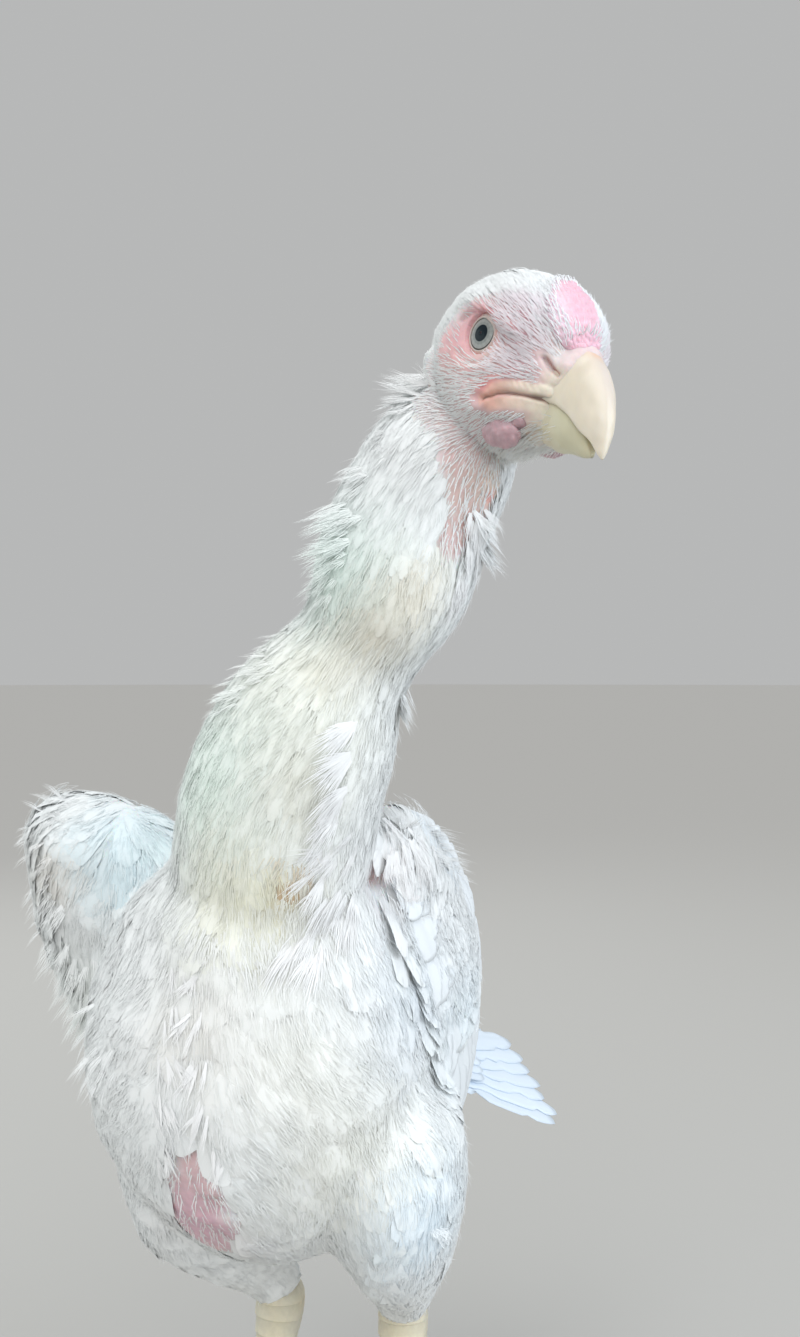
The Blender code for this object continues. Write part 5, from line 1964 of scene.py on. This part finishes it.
def tail_rows():
    draw = np.random.default_rng(61)
    templates = [flight_vane(seed + 20, 17) for seed in range(6)]
    back, side_axis, up_axis = tail_axes()
    tent = math.radians(TAIL_TENT)
    rows = []
    for tier, (count, middle, outer, width, fan, height) in enumerate(TAIL_TIERS):
        for rank in range(count):
            share = rank / (count - 1)
            for side in (1, -1):
                length = (middle + (outer - middle) * share) * draw.uniform(0.97, 1.03)
                turn = math.radians(fan * (rank + 0.5) / (count - 0.5) + draw.uniform(-0.8, 0.8))
                across = side_axis * side * math.cos(tent) - up_axis * math.sin(tent)
                up = up_axis * math.cos(tent) + side_axis * side * math.sin(tent)
                along = back * math.cos(turn) + across * math.sin(turn)
                wide = across * math.cos(turn) - back * math.sin(turn)
                spacing = TAIL_SPACING[0] + rank * TAIL_SPACING[1]
                root = np.array(TAIL_ROOT) + across * spacing + up_axis * 3 + back * 6
                lift = height + (0.25 if side > 0 else -0.25) - rank * TAIL_STEP

                place = tail_place(root, np.array((along, wide, up)), length, width / 2, lift)
                rows.append((templates[(tier * 2 + rank + (side > 0)) % 6], place, root))
    return rows


def tail_place(root, axes, length, half, lift):
    """The map from a template's shares to points of a tail feather, whose tip bends down."""
    def place(points):
        reach = points[:, 0] * length
        rise = lift - 0.0005 * reach**2 + points[:, 2]
        rise -= 3 * np.clip(0.2 - points[:, 0], 0, 1) / 0.2
        return root + np.c_[reach, points[:, 1] * half, rise] @ axes

    return place


def regions(points):
    """How much of each place belongs to the head, the neck and a thigh. The rest is body."""
    head = to_head(points)
    from_face = segment_distance(head, (0, 0, 0), (34, 0, -8))
    on_head = 1 - ease(from_face, 27, 33)
    on_neck = ease(points[:, 2], *NECK_BASE) * (1 - on_head)
    on_thigh = 1 - ease(points[:, 2], 150, 190)
    return head, on_head, on_neck, on_thigh


def bird_coat(skin, comb):
    coat = Coat(skin, lambda points: coat_colour(points, skin.tree))
    draw = coat.draw
    body_feathers(coat, skin, draw)
    neck_feathers(coat, skin, draw)
    head_feathers(coat, skin, draw)
    comb_bristles(coat, skin, draw, comb)
    chin_bristles(coat, skin, draw)
    stray_barbs(coat, skin, draw)
    set_tufts(coat, skin, draw)


def thinned(skin, places, lie, lengths, draw):
    """Drops most feathers that would lie over bare skin. Those of the body are judged along their length."""
    bare = bareness(places, skin)
    low = places[:, 2] < 320
    for share in (0.35, 0.65, 0.95):
        bare = np.maximum(bare, bareness(places + lie * (lengths * share)[:, None], skin) * low)
    return draw.random(len(places)) > bare * BARE_THINNING


def feather_scale(points):
    """Size of the body's feathers, as a share of the breast's."""
    wing = np.abs(points[:, 0] + 20 * (points[:, 0] < 0)) > 47
    small = ease(points[:, 2], 285, 345)
    low = 1 - ease(points[:, 2], 120, 175)
    return 1 - 0.35 * small - 0.5 * low - 0.3 * wing * (1 - low) * (1 - small) * ease(points[:, 2], 200, 270)


def coat_height(points):
    """Height of the coat's surface over the skin."""
    body = 2.1 * (0.35 + 0.65 * feather_scale(points))
    neck = 1.7 - 0.3 * ease(points[:, 2], 340, 420)
    height = body + (neck - body) * ease(points[:, 2], *NECK_BASE)
    return height + (6.3 - height) * on_small_vanes(points)


def on_small_vanes(points):
    """How much of each place lies on a wing's outer face, above its long feathers."""
    slope = math.radians(WING_SLOPE)
    y, z = points[:, 1] - WING_WRIST[0], points[:, 2] - WING_WRIST[1]
    a = y * math.cos(slope) - z * math.sin(slope)
    b = y * math.sin(slope) + z * math.cos(slope)
    found = np.zeros(len(points))
    rows = np.array(WING_CORE)
    off_middle = np.abs(b - np.interp(a, rows[:, 0], rows[:, 1])) / np.interp(a, rows[:, 0], rows[:, 2])
    for side, spread in ((1, 0.0), (-1, RIGHT_WING_SPREAD)):
        off = wing_surface(a, b, 0, spread)[:, 0] - points[:, 0] * side
        found = np.maximum(found, (1 - ease(off, 6, 13)) * (1 - ease(off_middle, 0.9, 1.2)))
    return found * ease(a, -22, -10) * (1 - ease(a, 66, 92))


def swayed(ways, normals, places, draw, spread, sweep):
    """Ways turned a little, each on its own and in patches."""
    side = np.cross(normals, ways)
    turn = spread * draw.normal(size=len(ways)) + sweep * noise(places, 16, 72)
    return unit(ways + side * turn[:, None])


def body_feathers(coat, skin, draw):
    """Breast, back, belly, flank, thigh and wing shoulder."""
    def density(points):
        _, _, _, on_thigh = regions(points)
        return np.where(points[:, 2] < NECK_BASE[1], 1.0, 0.0) * (1 + 2.2 * on_thigh) + 1e-6

    places, normals, lie = skin.scattered(60000, draw, density)
    scale = feather_scale(places)
    keep = spaced(places, 5.0 * scale)
    keep = keep[thinned(skin, places[keep], lie[keep], 27 * scale[keep], draw)]
    places, normals, lie, scale = picked(keep, (places, normals, lie, scale))
    count = len(keep)
    lengths = 27 * scale * draw.uniform(0.8, 1.2, count)
    body = coat_height(places) + draw.normal(0, 0.12, count)
    tip = body - scale * draw.uniform(0.5, 1.3, count)
    rise = np.c_[np.full(count, 0.2), body, tip]
    templates = [contour_feather(27, 18, 13, seed) for seed in range(8)]
    spots = (places, normals, lie)
    coat.lay("coat_body", templates, 27, spots, lengths, scale, rise, (0.10, 0.16), 0.25)


def neck_feathers(coat, skin, draw):
    def density(points):
        _, _, on_neck, _ = regions(points)
        return on_neck + 1e-6

    places, normals, lie = skin.scattered(40000, draw, density)
    _, _, on_neck, _ = regions(places)
    high = ease(places[:, 2], 340, 420)
    keep = spaced(places, 2.8 - 1.0 * high)
    bare = bareness(places[keep], skin)
    keep = keep[(on_neck[keep] > 0.2) & (bare < 0.4 + 0.2 * draw.random(len(keep)))]
    places, normals, lie, high = picked(keep, (places, normals, lie, high))
    count = len(keep)
    lengths = (20 - 7 * high) * draw.uniform(0.75, 1.25, count)
    widths = (1.15 - 0.35 * high) * draw.uniform(0.85, 1.15, count)
    body = coat_height(places) + draw.normal(0, 0.12, count)
    tip = body - draw.uniform(0.2, 0.8, count)
    rise = np.c_[np.full(count, 0.1), body, tip]
    templates = [hackle(16, 5.2, seed) for seed in range(8)]
    spots = (places, normals, lie)
    coat.lay("coat_neck", templates, 16, spots, lengths, widths, rise, (0.10, 0.2), 0.2)


def off_comb(head, size):
    """Distance from the middle of the comb, in shares of a size along each of the head's axes."""
    return np.linalg.norm((head - COMB_AT - (0, COMB_LEAN, 0)) / size, axis=1)


def unfeathered(head, fold, draw):
    """Which places of the head carry nothing: comb, mouth, cere and most of the smooth skin by the eye."""
    on_comb = off_comb(head, (7.5, 8, 8)) < 1.0
    mouth = np.minimum(line_distance(fold, LIP_UPPER), line_distance(fold, LIP_LOWER)) < 2.3
    nostril = (flat_distance(fold, NOSTRIL) < 1.8) | (fold[:, 0] - HORN_SLANT * fold[:, 2] > 31.5)
    smooth = np.linalg.norm((fold - (-2.5, 19, 2.5)) / (6.5, 9, 10), axis=1) < 1.0
    smooth |= np.linalg.norm((fold - (11, 18, -1)) / (5, 9, 4), axis=1) < 0.8
    smooth &= draw.random(len(fold)) > 0.06
    return on_comb | mouth | nostril | smooth


def head_feathers(coat, skin, draw):
    """Short tufts on the crown, fine bristles over the face and pin feathers down the throat."""
    def density(points):
        _, on_head, _, _ = regions(points)
        return on_head + 0.6 * bareness(points, skin) + 1e-6

    spots = skin.scattered(80000, draw, density)
    places = spots[0]
    head, on_head, _, _ = regions(places)
    fold = folded(head)
    bare = bareness(places, skin)
    eyes = [eye_place(head, side) for side in (1, -1)]
    off_eye = np.minimum(*[np.where(ahead > 0, off, 99) for off, ahead, _ in eyes])
    allowed = (off_eye > 7.2) & ~unfeathered(head, fold, draw)
    keep = np.flatnonzero(allowed & (bare < 0.5) & (on_head > 0.3))
    crown_tufts(coat, draw, picked(keep, spots), head[keep, 0])
    keep = np.flatnonzero(allowed & (bare >= 0.3) & (on_head > 0.15))
    face_bristles(coat, draw, picked(keep, spots), *picked(keep, (fold, off_eye, on_head)))
    keep = np.flatnonzero((bare > 0.3) & (on_head < 0.35))
    pin_feathers(coat, draw, picked(keep, spots))


def crown_tufts(coat, draw, spots, ahead):
    """Tufts of the crown, shorter the further ahead they grow."""
    keep = spaced(spots[0], np.full(len(ahead), 0.95))
    spots, ahead, count = picked(keep, spots), ahead[keep], len(keep)
    lengths = (6.4 - 2.0 * ease(ahead, 0, 26)) * draw.uniform(0.8, 1.25, count)
    body = 0.8 + draw.normal(0, 0.15, count)
    rise = np.c_[np.full(count, -0.1), body, body + draw.normal(0.1, 0.3, count)]
    templates = [crown_tuft(6, 2.2, seed) for seed in range(6)]
    coat.lay("coat_crown", templates, 6, spots, lengths, np.ones(count), rise, (0.08, 0.1), 0.2)


def face_bristles(coat, draw, spots, fold, off_eye, on_head):
    """Bristles of the face, close round the eye and thick and pale between eye and bill."""
    near_eye = 1 - ease(np.abs(off_eye - 7), 2, 6)
    thick = 1 - ease(np.linalg.norm(fold - (20, 13, 6), axis=1), 9, 17)
    keep = spaced(spots[0], 0.70 + 0.4 * near_eye + 0.35 * (1 - on_head) - 0.12 * thick)
    spots, thick, count = picked(keep, spots), thick[keep], len(keep)
    lengths = (4.2 + 0.8 * thick) * draw.uniform(0.7, 1.3, count)
    body = 0.55 + draw.normal(0, 0.12, count)
    rise = np.c_[np.full(count, -0.1), body, body + draw.normal(0.2, 0.35, count)]
    templates = [bristle(4, 0.36, seed) for seed in range(6)]
    tint = toward(coat.colour(spots[0]), (0.97, 0.87, 0.92), 0.75 * thick)
    widths = 1 + 0.25 * thick
    coat.lay("coat_bristles", templates, 4, spots, lengths, widths, rise, (0.10, 0.12), 0.1, tint)


def pin_feathers(coat, draw, spots):
    """Sparse pin feathers on the bare skin of the throat, and very few on the keel."""
    low = spots[0][:, 2] < 330
    spots = picked(~low | (draw.random(len(low)) < 0.05), spots)
    keep = spaced(spots[0], np.full(len(spots[0]), 1.25))
    spots, count = picked(keep, spots), len(keep)
    lengths = 6.5 * draw.uniform(0.6, 1.35, count)
    body = 0.6 + draw.normal(0, 0.2, count)
    rise = np.c_[np.full(count, -0.2), body, body + np.abs(draw.normal(0.4, 0.6, count))]
    templates = [bristle(6, 0.5, seed) for seed in range(6)]
    coat.lay("coat_pins", templates, 6, spots, lengths, np.ones(count), rise, (0.25, 0.2), 0.1)


def height_over(points, normals, tree):
    """How far a surface rises over points along their normals, 0 where it lies elsewhere."""
    reach = 12
    found = np.zeros(len(points))
    for n, (point, normal) in enumerate(zip(points.tolist(), normals.tolist())):
        normal = Vector(normal)
        hit, _, _, distance = tree.ray_cast(Vector(point) + normal * reach, -normal)
        found[n] = max(0.0, reach - distance) if hit else 0.0
    return found


def comb_bristles(coat, skin, draw, comb):
    """Bristles that grow over the edge of the comb, thick on its far side and on the forehead."""
    def density(points):
        return (off_comb(to_head(points), (13, 13, 13)) < 1) + 1e-6

    tree = tree_of(comb)
    places, normals, lie = skin.scattered(9000, draw, density)
    head = to_head(places)
    low = height_over(places, normals, tree)
    edge = off_comb(head, (9.5, 8.6, 9.5))
    far = ease(head[:, 1], 2, 6)
    fold = folded(head)
    behind_horn = fold[:, 0] - HORN_SLANT * fold[:, 2] < 31
    keep = np.flatnonzero((edge > 0.86 - 0.3 * far) & behind_horn & (low < 4.2))
    keep = keep[spaced(places[keep], 0.78 - 0.1 * far[keep])]
    places, normals, lie, low, far = picked(keep, (places, normals, lie, low, far))
    count = len(keep)
    lengths = (4.2 + 1.6 * far) * draw.uniform(0.7, 1.3, count)
    end = height_over(places + lie * lengths[:, None], normals, tree)
    middle = height_over(places + lie * lengths[:, None] * 0.5, normals, tree)
    tip = end + 0.5 + np.abs(draw.normal(0.2, 0.4, count)) + 0.7 * far
    rise = np.c_[low - 0.2, np.maximum(low, middle) + 0.45, tip]
    templates = [bristle(4, 0.4, seed) for seed in range(6)]
    tint = np.tile((0.92, 0.945, 0.96), (count, 1))
    spots, ones = (places, normals, lie), np.ones(count)
    coat.lay("coat_comb_edge", templates, 4, spots, lengths, ones, rise, (0.12, 0.12), 0.1, tint)


def chin_bristles(coat, skin, draw):
    """Longer grey-white bristles that hang from the chin and the jaw."""
    def density(points):
        head = to_head(points)
        chin = segment_distance(head, (14, 0, -24), (30, 0, -21)) < 9
        return chin * (head[:, 2] < -15) + 1e-6

    spots = skin.scattered(3000, draw, density)
    head = to_head(spots[0])
    spots = picked((head[:, 2] < -16) & (head[:, 0] > 2), spots)
    keep = spaced(spots[0], np.full(len(spots[0]), 1.05))
    spots, count = picked(keep, spots), len(keep)
    lengths = 7.0 * draw.uniform(0.6, 1.3, count)
    body = 1.1 + draw.normal(0, 0.2, count)
    rise = np.c_[np.full(count, -0.2), body, 2.0 + np.abs(draw.normal(0.6, 0.8, count))]
    templates = [bristle(7, 0.42, seed) for seed in range(6)]
    tint = np.tile((0.86, 0.86, 0.83), (count, 1))
    coat.lay("coat_chin", templates, 7, spots, lengths, np.ones(count), rise, (0.2, 0.15), 0.1, tint)


def stray_barbs(coat, skin, draw):
    """Fine loose barbs over the whole coat, and longer ones that stand off it and soften its outline."""
    def density(points):
        _, on_head, on_neck, _ = regions(points)
        return (1 - on_head) * (1 - 0.9 * bareness(points, skin)) * (1 + 0.6 * on_neck) + 1e-6

    places, normals, lie = skin.scattered(8600, draw, density)
    keep = thinned(skin, places, lie, np.full(len(places), 14.0), draw)
    spots = picked(keep, (places, normals, lie))
    places = spots[0]
    count = len(places)
    lengths = 14.0 * draw.uniform(0.7, 1.3, count)
    height = coat_height(places)
    rise = np.c_[height - 0.2, height, height + np.abs(draw.normal(0, 0.22, count))]
    templates = [strands(14, 7, 7, seed) for seed in range(8)]
    coat.lay("coat_strands", templates, 14, spots, lengths, np.ones(count), rise, (0.16, 0.2), 0.1)
    spots = skin.scattered(6000, draw, density)
    places = spots[0]
    count = len(places)
    lengths = 8.0 * draw.uniform(0.6, 1.4, count)
    height = coat_height(places)
    rise = np.c_[height - 0.6, height + 0.3, height + np.abs(draw.normal(0.8, 0.9, count))]
    templates = [bristle(8, 0.26, seed) for seed in range(8)]
    coat.lay("coat_wisps", templates, 8, spots, lengths, np.ones(count), rise, (0.35, 0.2), 0.1)


def camera_way(across, down):
    """A direction in the picture's plane, given in its pixels, in the bird's axes."""
    return unit(camera_turn() @ np.array((across, 0.0, -down)))


def tuft_root(skin, spot, way):
    """The place on the skin behind a pixel. One that misses the bird is moved back along its tuft."""
    for _ in range(TUFT_TRIES):
        at = seen(skin.tree, spot)
        if at is not None:
            return at
        spot = spot - unit(way) * TUFT_STEP
    return None


def tufts_of(kind, skin, draw):
    """Places, ways, lengths and heights of the tips of the tufts of one kind."""
    rows = []
    for name, pixel, way, count, reach, length, lift in TUFTS:
        if name != kind:
            continue
        for _ in range(count):
            at = tuft_root(skin, np.array(pixel) + draw.normal(0, reach, 2), way)
            if at is None:
                continue
            turned = camera_way(*(np.array(way) + draw.normal(0, 0.22, 2)))
            rows.append((at, turned, length * draw.uniform(0.75, 1.2), lift * draw.uniform(0.4, 1.3)))
    return [np.array(column) for column in zip(*rows)]


def set_tufts(coat, skin, draw):
    """The tufts that stand out in the photo, each at its pixel and pointing the way it does there."""
    kinds = {
        "spray": [spray(TUFT_LENGTH, 4.2, 9, seed) for seed in range(30, 36)],
        "tip": [spray(TUFT_LENGTH, 4.4, 6, seed) for seed in range(70, 78)],
        "fan": [down_tuft(TUFT_LENGTH, 8, 11, seed) for seed in range(40, 46)],
        "pin": [spray(TUFT_LENGTH, 2.0, 7, seed) for seed in range(50, 54)],
    }
    for kind, templates in kinds.items():
        places, ways, lengths, tips = tufts_of(kind, skin, draw)
        free = kind in ("tip", "fan")
        if free:
            _, normals, lie = skin.nearest(places)
            flat = 1.1 * (kind == "fan") * normals * (ways * normals).sum(1)[:, None]
            ways = unit(ways + 0.3 * lie - flat)
        height = coat_height(places)
        root = 0.1 * height if kind == "tip" else height - 0.4
        rise = np.c_[root, height + 0.35 + 0.25 * tips, height + 0.4 + tips]
        ones = np.ones(len(tips))
        tint = toward(coat.colour(places), TUFT_WHITE, ones * (0.35 if kind == "tip" else 0.9))
        follow = None if free else 0.05
        name = f"coat_{kind}_tufts"
        coat.pieces(name, templates, TUFT_LENGTH, places, ways, lengths, ones, rise, follow, tint)


# Name, place in metres, width, power and colour of the lights beside the sun
AREA_LIGHTS = (
    ("fill_light", (1.4, -0.3, 0.7), 1.2, 10, (0.80, 0.90, 1.0)),
    ("side_light", (-1.5, -0.3, 0.7), 1.2, 3.5, (0.86, 1.0, 1.0)),
    ("back_light", (-0.9, 1.2, 1.2), 1.0, 4, (0.95, 1.0, 1.0)),
)


def make_camera():
    data = bpy.data.cameras.new("camera")
    data.sensor_fit = "VERTICAL"
    data.sensor_height = 36.0
    data.lens = FOCAL / PHOTO[1] * 36.0
    data.clip_start = 0.01
    camera = bpy.data.objects.new("camera", data)
    camera.location = [(c + o) * MM for c, o in zip(CAMERA_AT, ORIGIN)]
    camera.rotation_euler = (math.pi / 2, 0, math.radians(CAMERA_TURN))
    bpy.context.scene.collection.objects.link(camera)
    bpy.context.scene.camera = camera


def area_light(name, at, size, power, colour):
    data = bpy.data.lights.new(name, "AREA")
    data.shape = "DISK"
    data.size = size
    data.energy = power
    data.color = colour
    light = bpy.data.objects.new(name, data)
    light.location = at
    light.rotation_euler = (Vector((0, 0, 0.28)) - Vector(at)).to_track_quat("-Z", "Y").to_euler()
    bpy.context.scene.collection.objects.link(light)


def make_studio():
    matt = {"Base Color": (0.50, 0.49, 0.47, 1), "Roughness": 0.9, "Specular IOR Level": 0.1}
    material, _ = shader_of("studio_floor", matt)
    bpy.ops.mesh.primitive_circle_add(vertices=128, radius=30.0, fill_type="NGON")
    floor = bpy.context.object
    floor.name = "floor"
    floor.data.materials.append(material)
    data = bpy.data.lights.new("key_light", "SUN")
    data.energy = 1.85
    data.angle = math.radians(60)
    data.color = (0.965, 0.985, 1.0)
    light = bpy.data.objects.new("key_light", data)
    light.rotation_euler = Vector((-0.2, 0.85, -0.85)).to_track_quat("-Z", "Y").to_euler()
    bpy.context.scene.collection.objects.link(light)
    for row in AREA_LIGHTS:
        area_light(*row)
    world = bpy.data.worlds.new("studio")
    world.use_nodes = True
    world.node_tree.nodes["Background"].inputs["Color"].default_value = (0.475, 0.48, 0.48, 1)
    world.node_tree.nodes["Background"].inputs["Strength"].default_value = 1.0
    bpy.context.scene.world = world
    bpy.context.scene.view_settings.view_transform = "Standard"


def main():
    make_camera()
    make_studio()
    skin = make_skin()
    for side in (1, -1):
        make_eye(side)
        make_lids(side)
        make_wattle(side)
    make_bill()
    comb = make_comb()
    for side in (1, -1):
        make_leg(side)
    # The left wing's bluish colour is painted cool light, and the tail's darker blue is painted cool shade
    # over its white feathers
    set_vanes("wing_feathers_left", "wing_left", wing_rows(1), (0.90, 0.94, 0.97))
    set_vanes("wing_feathers_right", "wing_right", wing_rows(-1), (0.93, 0.94, 0.93))
    set_vanes("tail_feathers", "tail", tail_rows(), (0.78, 0.87, 0.97))
    bird_coat(skin, comb)


main()
